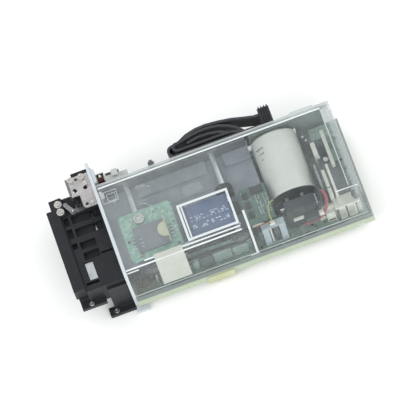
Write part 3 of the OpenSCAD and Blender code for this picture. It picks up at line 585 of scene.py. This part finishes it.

# Details on the upper guide: rounded pads in a paler grey, two low moulded ribs along it and round bosses.
# The small oval pad at its far edge is a painted highlight.
raised_strip = 2
guide_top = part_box("upper_guide")[1].z / MM - raised_strip
guide_details = bmesh.new()
pad_sides = 48
pad_squareness = 0.55
for mid_x, mid_y, step, half_x, half_y in (
        (-12, 69, 0.5, 4.7, 8.0), (-12, 69, 0.9, 4.0, 7.2), (-27.6, 33.4, 3.2, 1.6, 4.2)):
    outline = []
    for i in range(pad_sides):
        turn = 2 * math.pi * i / pad_sides
        across = abs(math.cos(turn)) ** pad_squareness * math.copysign(1, math.cos(turn))
        back = abs(math.sin(turn)) ** pad_squareness * math.copysign(1, math.sin(turn))
        outline.append(Vector((mid_x + half_x * across, mid_y + half_y * back, guide_top)) * MM)
    low = [guide_details.verts.new(p) for p in outline]
    high = [guide_details.verts.new(p + Vector((0, 0, step * MM))) for p in outline]
    guide_details.faces.new(high)
    for i in range(pad_sides):
        after = (i + 1) % pad_sides
        guide_details.faces.new((low[i], low[after], high[after], high[i]))
box(guide_details, (-7.5, -6.7), (30, 84), (guide_top - 0.1, guide_top + 0.9))
box(guide_details, (26.6, 27.6), (30, 84), (guide_top - 0.1, guide_top + 1.4))
for boss_x, boss_y in ((-24, 12), (28, 12), (0, 60), (18, 60)):
    rod(guide_details, (boss_x, boss_y, guide_top - 0.1), (boss_x, boss_y, guide_top + 2.4), 1.9)
# A paler copy of the guide's grey; on the small far pad it paints a highlight.
pale_grey_and_highlight = moulding("pale_grey_and_painted_highlight", "#A4A8AB", "#999DA1", 0.4, grain_mm=2)
piece("upper_guide_details", guide_details, [pale_grey_and_highlight], slot="grey_guide", edge_mm=0.3)

# Two bent steel wires on the guide that hold the front shaft's bearings down.
shaft_clip = bmesh.new()
clip_z = guide_top + 0.9
clip_radius = 0.5
tube(shaft_clip, [(-27, 30, clip_z), (-28, 34, clip_z + 1.8),
                  (-26.5, 38, clip_z + 1.8), (-25, 40, clip_z + 1.6)], clip_radius)
tube(shaft_clip, [(-14, 26.5, clip_z), (-14.6, 30, clip_z),
                  (-13, 33.4, clip_z), (-9.8, 36.4, clip_z)], clip_radius)
piece("shaft_clip", shaft_clip, [stainless], slot="bright_steel", edge_mm=0)

# ---- Drive ----
# Ground steel shafts carry rubber-covered rollers; dark acetal pulleys and toothed rubber belts turn them.
ground_steel = sheet_metal("ground_shaft_steel", "#F0F1F1", "#D5D9DB", 0.3, streak_mm=0.4, along="X")
dress(ground_steel, "front_shaft", "rear_shaft", edge_mm=0.3)
rubber = moulding("nitrile_rubber", "#37383A", "#2C2D2F", 0.7, grain_mm=0.4)
dress(rubber, "front_rollers", "rear_rollers", "short_belt", "long_belt", edge_mm=0.3)
pulley_grey = moulding("dark_acetal_pulley", "#4B4F51", "#3E4244", 0.4)
dress(pulley_grey, "front_pulley", "rear_pulley", edge_mm=0.15)
white_nylon = moulding("white_nylon", "#E6E6E0", "#DADAD2", 0.4)
dress(white_nylon, "front_pinch_roller", "rear_pinch_roller", edge_mm=0.4)
motor_steel = sheet_metal("motor_can_steel", "#8A8E90", "#5E6264", 0.42, streak_mm=1.0, along="X")
dress(motor_steel, "drive_motor", edge_mm=0.5)
turned_brass = sheet_metal("turned_brass", "#DCC794", "#BFA667", 0.3, streak_mm=0.3, along="X")
dress(turned_brass, "motor_pulley", edge_mm=0.1)

# A hub with a steel shaft end and six small bosses on the outer face of each drive pulley.
for end, body in (("front", "front_drive"), ("rear", "rear_drive")):
    low, high = (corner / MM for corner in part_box(f"{end}_pulley"))
    hub_y, hub_z = (low.y + high.y) / 2, (low.z + high.z) / 2
    hub = bmesh.new()
    face_rod(hub, high.x, hub_y, hub_z, 0.5, 4.4)
    rod(hub, (high.x, hub_y, hub_z), (high.x + 0.75, hub_y, hub_z), 2.6, slot=1)
    for turn in range(0, 360, 60):
        y, z = on_circle(hub_y, hub_z, 5.4, turn)
        face_rod(hub, high.x, y, z, 0.3, 0.8)
    piece(f"{end}_pulley_hub", hub, [pulley_grey, motor_steel], body=body, slot="dark_acetal", edge_mm=0.12)

# Two screws and a ring of dimples on the motor's end cap.
motor_low, motor_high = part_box("drive_motor")
end_cap = bmesh.new()
cap_x, cap_y, cap_z = 31.5, 12, 17.4
for turn in (35, 215):
    y, z = on_circle(cap_y, cap_z, 5.4, turn)
    face_rod(end_cap, cap_x, y, z, 0.8, 1.1)
dimples = 16
for i in range(dimples):
    y, z = on_circle(cap_y, cap_z, 6.9, i * 360 / dimples)
    face_rod(end_cap, cap_x, y, z, 0.25, 0.35, sides=8)
piece("motor_end_screws", end_cap, [ground_steel], slot="grey_steel", edge_mm=0.1)

# ---- Reading stations ----
# A magnetic head in a bright steel case sits under the card. A chip contact block with its own small board
# presses from above, beside an enamelled steel frame.
dress(stainless, "magnetic_head", edge_mm=0.4)
pale_enamel = moulding("pale_blue_grey_enamel", "#A9B5BA", "#9CA9AE", 0.35, grain_mm=3)
dress(pale_enamel, "contact_frame", edge_mm=0.25)
contact_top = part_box("contact_block")[1].z / MM
contact_pads = bmesh.new()
empty_places = ((2, 1), (6, 3), (4, 0))
for column in range(4):
    gap = 1.6 if column > 1 else 0
    for row in range(9):
        if (row, column) in empty_places:
            continue
        pad_x, pad_y = 15.5 + row * 1.8, 110.8 + column * 2.0 + gap
        rod(contact_pads, (pad_x, pad_y, contact_top - 0.1), (pad_x, pad_y, contact_top + 0.35),
            0.5, sides=12)
chip_top = contact_top + 1.4
for chip_x in (10, 18, 26):
    box(contact_pads, (chip_x, chip_x + 5), (101.5, 105.5), (contact_top, chip_top), 1)
box(contact_pads, (7.5, 13), (108, 118), (contact_top, contact_top + 1.6), 1)
piece("contact_board_parts", contact_pads, [tin, chip_black],
      body="contacts", slot="green_board", edge_mm=0.1)

# Flat flexible leads beside the contact board, one brown and one white, that end in a plug on the frame.
polyimide = moulding("brown_polyimide", "#A9784F", "#8D5F3C", 0.3)
flex = bmesh.new()
film_thick = 0.3
film_across = (1, 0, 0.5)
ribbon(flex, [(37.4, 102.5, 45.5), (37.9, 105, 46.6), (38.2, 108, 47.2),
              (38.4, 111, 47), (38.5, 113.5, 46), (38.5, 115, 44.2)], 1.4, film_thick, film_across)
ribbon(flex, [(36.4, 101, 45), (36.8, 104, 46.4), (37.1, 107, 46.8), (37.2, 110, 46)],
       1.6, film_thick, film_across, slot=1)
box(flex, (36.6, 39.4), (113.8, 117.6), (42.2, 44.8), 1)
piece("contact_flex", flex, [polyimide, white_nylon], slot="copper_coil", edge_mm=0)

# ---- Knurled screw and label ----
# A nickel-plated thumb screw, serrated round its head and with a cross recess, fixes the control board.
nickel = sheet_metal("nickel_plate", "#E9E7E2", "#C6C4BE", 0.24, streak_mm=0.5)
dress(nickel, "knurled_screw", edge_mm=0.12)
screw_low, screw_high = (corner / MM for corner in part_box("knurled_screw"))
screw_x, screw_y = (screw_low.x + screw_high.x) / 2, (screw_low.y + screw_high.y) / 2
serrations = bmesh.new()
teeth = 16
for i in range(teeth):
    inner, outer = (on_circle(screw_x, screw_y, radius, i * 360 / teeth) for radius in (2.9, 3.9))
    rod(serrations, (*inner, screw_high.z), (*outer, screw_high.z), 0.22, sides=8)
recess_half = 2.2
recess_z = screw_high.z - 0.75
for start_y, end_y in ((-recess_half, recess_half), (recess_half, -recess_half)):
    rod(serrations, (screw_x - recess_half, screw_y + start_y, recess_z),
        (screw_x + recess_half, screw_y + end_y, recess_z), 0.35, sides=8)
bright_nickel = moulding("white_nickel_serrations", "#DDE0E0", "#CFD3D3", 0.3)
piece("thumb_screw_serrations", serrations, [bright_nickel], slot="nickel", edge_mm=0)

# The label is a blue film behind the cover's window, with rows of plain dashes for its print.
label_low, label_high = (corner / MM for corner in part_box("label_plate"))
label_blue = moulding("printed_blue_film", "#53607F", "#626F92", 0.25, grain_mm=5)
print_white = moulding("white_print", "#D9E0EC", "#BFC9DC", 0.4)
label = bmesh.new()
label_face = label_high.z - 0.2
box(label, (label_low.x, label_high.x), (label_low.y, label_high.y), (label_low.z + 0.05, label_face))
ink = (label_face - 0.01, label_face + 0.04)
draw_print = random.Random(11)
for line_x, heavy in ((18.0, 0.6), (19.6, 0.9), (21.2, 0.5), (25.0, 0.8), (26.6, 1.1), (27.8, 0.7)):
    y = label_low.y + 2.2
    while y < label_high.y - 3:
        dash = draw_print.uniform(0.5, 2.4)
        if draw_print.random() < 0.62:
            box(label, (line_x - heavy / 2, line_x + heavy / 2), (y, y + dash), ink, 1)
        y += dash + draw_print.uniform(0.4, 1.8)
label_film = piece("label_film", label, [label_blue, print_white], slot="blue_label", edge_mm=0)
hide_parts("label_plate")

# ---- Near side inside ----
# Behind the near wall stands a small driver board with a dark relay, two green coil shells, their tinned feet
# and a pale line along each shell.
relay_dark = moulding("relay_shell", "#4A5052", "#404648", 0.45)
shell_green = moulding("coil_shell_green", "#7C8F85", "#6B7E76", 0.45, grain_mm=2)
dress(shell_green, "driver_blocks", edge_mm=0.35)
near_parts = bmesh.new()
box(near_parts, (39.4, 41.2), (56.6, 65.6), (15.5, 33.8), 0)
box(near_parts, (39.0, 40.4), (50.6, 54.8), (20, 30), 1)
for y in (67.4, 74, 82.6, 88.6):
    box(near_parts, (39.8, 40.4), (y, y + 5), (17, 18.2), 2)
box(near_parts, (39.9, 40.3), (66.6, 80.4), (30.2, 31.2), 3)
box(near_parts, (39.9, 40.3), (81.8, 93.4), (29.4, 30.2), 3)
piece("driver_block_parts", near_parts, [relay_dark, shell_green, tin, pale_grey_and_highlight],
      slot="grey_shell", edge_mm=0.2)

# A steel post beside the short belt, and a dark guard over the long belt, held by two nickel screws.
belt_post = bmesh.new()
rod(belt_post, (40.6, 22.2, 14), (40.6, 22.2, 33), 0.7)
rod(belt_post, (40.6, 22.2, 33), (40.6, 22.2, 34), 1.2)
piece("belt_post", belt_post, [ground_steel], slot="bright_steel", edge_mm=0.2)

guard = bmesh.new()
box(guard, (34.2, 37.6), (60, 86), (44.5, 45.7), 0)
box(guard, (34.2, 36.8), (66, 82), (45.7, 48.2), 1)
for y in (63, 84):
    rod(guard, (36.4, y, 45.6), (36.4, y, 47.0), 1.3, slot=2)
piece("belt_guard", guard, [relay_dark, pulley_grey, nickel], slot="black_moulding", edge_mm=0.3)

# ---- Capacitor ----
# A large aluminium capacitor in a shrunk white vinyl sleeve, with plain printed bars, sloping down to its
# screw terminals. The sleeve is smooth and slightly glossy and swells over the can's crimp.
sleeve = moulding("white_vinyl_sleeve", "#D2D4CE", "#CACDC6", 0.34, grain_mm=6, grain_depth_mm=0.05)
dress(sleeve, "capacitor", edge_mm=0.5)
cap_tilt = math.radians(8)
cap_axis = Vector((math.cos(cap_tilt), 0, -math.sin(cap_tilt)))
cap_up = Vector((math.sin(cap_tilt), 0, math.cos(cap_tilt)))
cap_radius = 17.4
cap_start = Vector((-30, 137.9, 55.6 - cap_radius))


def on_sleeve(along, turn, lift):
    """A point on the sleeve, from the distance along it and the angle from its top in degrees."""
    a = math.radians(turn)
    return (cap_start + cap_axis * along
            + (cap_up * math.cos(a) + Vector((0, 1, 0)) * math.sin(a)) * (cap_radius + lift))


mark_grey = moulding("grey_sleeve_print", "#6E7275", "#85888A", 0.5)
cap_marks = bmesh.new()
draw_marks = random.Random(3)
for along, turns, tall in ((8.4, (-58, -34), 2.0), (12.6, (-54, -36), 1.6), (17.2, (-50, -44), 1.2)):
    turn = turns[0]
    while turn < turns[1]:
        width = draw_marks.uniform(1.4, 4.2)
        height = tall * draw_marks.uniform(0.5, 1)
        corners = [on_sleeve(along + dx, turn + dt, 0.04) * MM
                   for dx, dt in ((0, 0), (height, 0), (height, width), (0, width))]
        cap_marks.faces.new([cap_marks.verts.new(corner) for corner in corners])
        turn += width + draw_marks.uniform(0.8, 2)
crimp_sides = 64
crimp = [
    [cap_marks.verts.new(on_sleeve(along, 360 * k / crimp_sides, lift) * MM) for k in range(crimp_sides)]
    for along, lift in ((44.6, 0.03), (45.2, 0.01), (46.0, 0.25), (47.2, 0.28), (48.0, 0.03))]
for a, b in zip(crimp, crimp[1:]):
    for k in range(crimp_sides):
        after = (k + 1) % crimp_sides
        cap_marks.faces.new((a[k], a[after], b[after], b[k])).material_index = 1
end_disc = (on_sleeve(47.95, 0, -cap_radius), on_sleeve(48.25, 0, -cap_radius))
rod(cap_marks, *end_disc, cap_radius - 0.5, slot=2, sides=64)
phenolic = moulding("dark_phenolic_disc", "#333738", "#2A2D2E", 0.5)
piece("capacitor_marks", cap_marks, [mark_grey, sleeve, phenolic], slot="white_sleeve", edge_mm=0)

# The black holder in front of the terminals has ribs, two pale end plates and two tinned pins on a boss.
holder_grey = moulding("holder_nylon", "#3E4446", "#34393B", 0.5, grain_mm=2)
dress(holder_grey, "capacitor_holder", edge_mm=0.4)
holder_parts = bmesh.new()
box(holder_parts, (33.8, 34.6), (131.6, 133.2), (16, 43), 0)
box(holder_parts, (33.8, 34.6), (141.6, 143), (16, 43), 0)
box(holder_parts, (27, 33.8), (151.6, 152.8), (16, 43.5), 1)
box(holder_parts, (30, 34.4), (153.4, 154.4), (16, 42), 1)
for y in (125.4, 126.8):
    rod(holder_parts, (31.4, y, 40), (31.4, y, 44.6), 0.9, slot=2)
rod(holder_parts, (31, 126.1, 38.8), (31, 126.1, 40.4), 2.6, slot=0)
piece("holder_parts", holder_parts, [holder_grey, pale_grey_and_highlight, tin], slot="black_moulding", edge_mm=0.2)

# ---- Wires ----
# Vinyl-covered stranded wires from the rear board and the capacitor to their plugs by the near wall. The
# yellow one arches over the contact board, clear of it.
red_vinyl = moulding("red_vinyl", "#A04C54", "#8F4149", 0.35)
dark_vinyl = moulding("dark_vinyl", "#3A3A40", "#2E2E33", 0.35)
yellow_vinyl = moulding("yellow_vinyl", "#B2B268", "#A3A35A", 0.35)
dress(red_vinyl, "red_wire", edge_mm=0)
dress(dark_vinyl, "dark_wire", edge_mm=0)
thin_wires = bmesh.new()
tube(thin_wires, [(22.4, 122.4, 45.6), (23.6, 120.7, 48.8), (26.8, 117.4, 49.7), (31.2, 116.1, 49.7),
                  (35, 115.9, 48.9), (37.3, 116.1, 46.6), (37.9, 116.2, 44.4)], 0.45)
tube(thin_wires, [(25.4, 153.6, 44), (28.2, 154.2, 46.2), (31.8, 154.2, 44.8),
                  (34, 153.4, 40), (34.8, 151.4, 34), (35, 149, 30)], 0.6, slot=2)
tube(thin_wires, [(37.9, 161.0, 14.6), (38.4, 158, 21), (38.2, 155.2, 24),
                  (37.6, 151.5, 24.2)], 0.6, slot=1)
piece("thin_wires", thin_wires, [yellow_vinyl, red_vinyl, dark_vinyl], slot="red_wire", edge_mm=0)

# ---- Rear of the main board ----
# Nylon connectors, a relay, small upright parts and a knob stand on the board behind the capacitor.
header_beige = moulding("beige_nylon_connector", "#D5D6CA", "#C8C9BC", 0.42)
dress(header_beige, "rear_connectors", edge_mm=0.3)
rear_parts = bmesh.new()
PALE, DARK, METAL, GREEN = range(4)
above_board = 13.7

# A pale plug and a dark one on the holder, with the connectors that their wires lead to.
blocks(rear_parts, (
    ((36.6, 38.4), (131.4, 139.4), (32.2, 34.6), PALE),
    ((34.2, 36.4), (150.5, 163), (above_board, 33), PALE)))
for i in range(5):
    box(rear_parts, (38.4, 38.8), (132.2 + i * 1.5, 132.9 + i * 1.5), (32.8, 34.0), METAL)
blocks(rear_parts, (
    ((34.6, 39.4), (140.6, 150.2), (24.6, 31.8), DARK),
    # Strips between the legs of the contact station's frame; the two dark ones paint the shade in its gaps
    ((36.8, 40.4), (103.4, 106.3), (16, 40.4), DARK),
    ((36.8, 40.4), (115.2, 118.8), (16, 40.4), DARK),
    ((36.8, 39.8), (112.2, 113.6), (16, 40.2), PALE),
    ((35.2, 39.0), (142.0, 148.6), (20.4, 24.8), DARK),
    ((35.4, 39.6), (151.0, 154.6), (29, 34), PALE),
    ((33.6, 39.4), (155.6, 162.4), (above_board, 27.5), PALE),
    ((39.3, 39.9), (156.4, 161.6), (16, 17.6), DARK),
    # Dark joints between the rear connectors, and the pale shelf over them
    ((33.4, 41.2), (163.2, 165.2), (above_board, 32.4), DARK),
    ((40.9, 41.3), (170.6, 171.8), (14, 33.6), DARK),
    ((30.2, 41.6), (166.4, 182.0), (34.6, 36.2), PALE)))
rod(rear_parts, (37.4, 181, 36), (37.4, 181, 40.6), 2.6, DARK)
rod(rear_parts, (37.4, 181, 40.4), (37.4, 181, 42.0), 3.4, DARK)
blocks(rear_parts, (
    # Relay, tall connectors behind the capacitor, a small green board and upright parts
    ((8.5, 32.5), (169.6, 178.8), (26, 44.2), DARK),
    ((27, 33), (162.4, 165.4), (above_board, 43), PALE),
    ((11, 26), (162.6, 165.2), (above_board, 42.6), PALE),
    ((-28, -18), (164, 178), (above_board, 34), GREEN),
    ((-32.8, -31.3), (118.3, 120.9), (36, 50.5), DARK),
    ((-14.5, -9.5), (166.5, 171.2), (above_board, 40), DARK),
    ((-27, -22), (156.5, 160.5), (above_board, 42), DARK)))
metal_cap = 1.2
for x, y, z, r in ((1.8, 164.4, 46.2, 1.5), (4.4, 169, 44.2, 1.8), (-19.6, 158.8, 44, 1.0),
                   (-16, 160.4, 44, 0.9), (6, 172.4, 46, 1.1)):
    rod(rear_parts, (x, y, above_board), (x, y, z - metal_cap), r * 0.6, DARK)
    rod(rear_parts, (x, y, z - metal_cap), (x, y, z), r, METAL)
for i in range(7):
    rod(rear_parts, (-14 + i * 3.6, 173.1, 48.9), (-14 + i * 3.6, 173.1, 49.5), 0.55, METAL, sides=12)
for i in range(6):
    box(rear_parts, (37.4, 38.0), (153.2 + i * 1.5, 153.9 + i * 1.5), (13.6, 16.4), DARK)
piece("rear_parts", rear_parts, [header_beige, holder_grey, tin, main_green],
      slot="cream_plastic", edge_mm=0.2)

# Chip parts and electrolytic capacitors on the main board where it shows beside the card path.
board_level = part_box("main_board")[1].z / MM
main_parts = bmesh.new()
small_parts(main_parts, random.Random(9), 150, (-34, 42), (96, 184), board_level,
            [((-30, 30), (100, 122)), ((32, 42), (155, 182))])
for x, y, r, tall in ((-30, 126, 3, 9), (-24, 126, 2.5, 7), (-6, 128, 3.2, 12), (6, 126, 2.4, 8),
                      (17, 124, 3, 14), (-32, 150, 3.2, 12)):
    rod(main_parts, (x, y, board_level), (x, y, board_level + tall), r, 1)
    rod(main_parts, (x, y, board_level + tall - 0.1), (x, y, board_level + tall + 0.15), r * 0.8, 0)
piece("main_board_parts", main_parts, [tin, chip_black, ceramic], slot="black_chip", edge_mm=0.1)

# ---- Clear cover ----
# One moulding of clear polycarbonate, slightly milky, more so on level faces and towards both ends. Painted
# highlights whiten its raised marks, rib, rims and shoulders; a painted sheen shows at a glancing view; and
# its softened edges take a second, hazier material that paints highlights along them. The flange is cut from
# clear sheet: its faces are clear and its sawn edges are pale grey.
cover_clear = clear_plastic("clear_cover_polycarbonate", 0.065, 0.3, marks_and_shoulder_highlights)
# A hazier copy of the cover's material for its softened edges: it paints the highlights along them.
edge_highlight_clear = clear_plastic("cover_painted_edge_highlight", 0.3, 0.35, marks_and_shoulder_highlights)
sheet_clear = clear_plastic("clear_sheet_polycarbonate", 0.05, 0.35, sawn_edges, "#B4BCC0", "#C6CDD1")
cover = nodes["clear_cover"]
cover.data.materials.clear()
cover.data.materials.append(cover_clear)
cover.data.materials.append(edge_highlight_clear)
soften(cover, edge_mm=0.35, segments=2, edge_slot=1)
dress(sheet_clear, "flange_plate", edge_mm=0.3)

# Painted highlights: bright white strips laid along the cover's folds and edges, where the wall is thickest
# and gathers most light.
highlight_white = moulding(
    "painted_highlight_white", "#E2E7E7", "#D6DCDC", 0.3, grain_mm=1.2, grain_depth_mm=0.05)
fold_highlights = bmesh.new()
top_z = 59.0
line_z = (top_z - 0.4, top_z + 0.18)
box(fold_highlights, (-30.0, -28.9), (3.4, 177.4), line_z)
box(fold_highlights, (38.0, 39.1), (18, 93), line_z)
rod(fold_highlights, (41.4, 2.7, 58.3), (41.4, 93, 58.3), 0.6, sides=12)
rod(fold_highlights, (39.5, 167, 58.85), (39.5, 184, 58.2), 0.4, sides=12)
rod(fold_highlights, (43.9, 2.7, 17.4), (43.9, 186, 17.4), 0.4, slot=1, sides=12)
rod(fold_highlights, (42.6, 2.7, 55.8), (42.6, 12, 55.8), 0.5, sides=12)
tube(fold_highlights, [(40, 98.6, 58.5), (41.6, 98.6, 58.2), (42.9, 98.6, 56.6), (43.3, 98.6, 54)], 0.9)
box(fold_highlights, (-29.8, 38), (177.2, 178), (top_z - 0.4, top_z + 0.12), 1)
rod(fold_highlights, (-27, 184.2, 56.2), (41, 184.2, 56.2), 0.3, slot=1, sides=12)
# A softer white paints the dimmer highlights on the near rim and along the rear.
soft_highlight_white = moulding("painted_soft_highlight", "#B9C0BF", "#ADB5B4", 0.35)
piece("cover_fold_highlights", fold_highlights, [highlight_white, soft_highlight_white], slot="clear_cover", edge_mm=0.15)

# A blank paper sticker runs over the near fold.
paper = moulding("blank_paper_label", "#B9BDB5", "#B0B4AB", 0.6, grain_mm=0.8)
dress(paper, "wall_sticker", edge_mm=0.08)

# ---- Front mouldings ----
# Black glass-filled nylon, dull with a soft sheen: the card mouth, the ribbed body behind it, the throat
# block with its foot and the latch block. A stainless plate fills the window; the screws are nickel-plated.
bezel_black = moulding(
    "black_glass_filled_nylon", "#2A2B2E", "#232427", 0.45, grain_mm=0.6, grain_depth_mm=0.015, gloss=0.22)
dress(bezel_black, "bezel_lip", "bezel_body", "throat_block", "latch_block", edge_mm=0.5, segments=3)
dress(stainless, "window_plate", edge_mm=0.15)
dress(nickel, "bezel_screws", "pad_screws", "plate_screws", edge_mm=0.12)

# ---- Plate on the latch block ----
# A zinc die casting, barrel-polished and left bare, pinkish white, with a thin grey strip on its front edge
# that paints the shade there.
cast_zinc = sheet_metal("barrelled_zinc_casting", "#CECAC9", "#B4B0AF", 0.42, streak_mm=2.5)
dress(cast_zinc, "mounting_plate", edge_mm=0.25)
plate_low, plate_high = (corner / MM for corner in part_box("mounting_plate"))
# The grey strip along the front edge is painted shade.
strip = bmesh.new()
box(strip, (plate_low.x + 0.2, -34.2), (plate_low.y + 0.1, plate_low.y + 1.9),
    (plate_high.z - 0.1, plate_high.z + 0.15))
plate_edge_shade_grey = moulding("plate_edge_painted_shade", "#77787A", "#6A6B6D", 0.7, grain_mm=0.5)
piece("plate_edge_shade_strip", strip, [plate_edge_shade_grey], slot="grey_steel", edge_mm=0.1)

# ---- Lever, shutter and solenoid ----
# A phosphated steel lever on its bracket, with a nickel pin; a stainless shutter; a zinc-plated solenoid with
# a varnished copper coil and a nickel plunger.
phosphate = sheet_metal("phosphated_steel", "#A3A5A6", "#858788", 0.5, streak_mm=0.8)
dress(phosphate, "lever_bracket", "entry_lever", edge_mm=0.2)
pin_cap = bmesh.new()
rod(pin_cap, (-26.4, -19.6, 45.9), (-26.4, -19.6, 46.6), 1.2, end_radius=0.8)
piece("lever_pin_cap", pin_cap, [nickel], slot="nickel", edge_mm=0.1)
dress(stainless, "shutter_blade", edge_mm=0.1)
dress(zinc_sheet, "solenoid_frame", edge_mm=0.2)
dress(nickel, "solenoid_plunger", edge_mm=0.3)
varnished = moulding("varnished_copper_coil", "#7A3A38", "#552627", 0.3, grain_mm=0.5, grain_depth_mm=0.15)
dress(varnished, "solenoid_coil", edge_mm=0.2)

# ---- Far side ----
# A white nylon plug with two dark sockets, a nickel earth stud painted darker for the shade on its sides, and
# a flat black cable folded back on itself in its clamp.
plug_nylon = moulding("natural_nylon_plug", "#BDC0BD", "#B0B4B1", 0.4)
dress(plug_nylon, "side_connector", edge_mm=0.3)
plug_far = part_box("side_connector")[0].x / MM
sockets = bmesh.new()
for y in ((12.1, 16.2), (21.45, 22.15)):
    box(sockets, (plug_far + 0.2, plug_far + 2.3), y, (46.1, 49.4))
piece("plug_sockets", sockets, [holder_grey], slot="black_moulding", edge_mm=0.1)
# Nickel darkened to paint the shade seen on the stud's sides.
shaded_nickel = sheet_metal("nickel_darkened_as_shade", "#8C8F8C", "#676A68", 0.22)
dress(shaded_nickel, "ground_stud", edge_mm=0.2)
cable_black = moulding("soft_black_vinyl", "#35363A", "#404144", 0.32, grain_mm=2.5, grain_depth_mm=0.1)
dress(cable_black, "cable_loop", edge_mm=0.5, segments=3)
clamp_black = moulding("black_nylon_clamp", "#222326", "#2A2B2E", 0.5)
dress(clamp_black, "cable_clamp", edge_mm=0.25)

low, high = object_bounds()
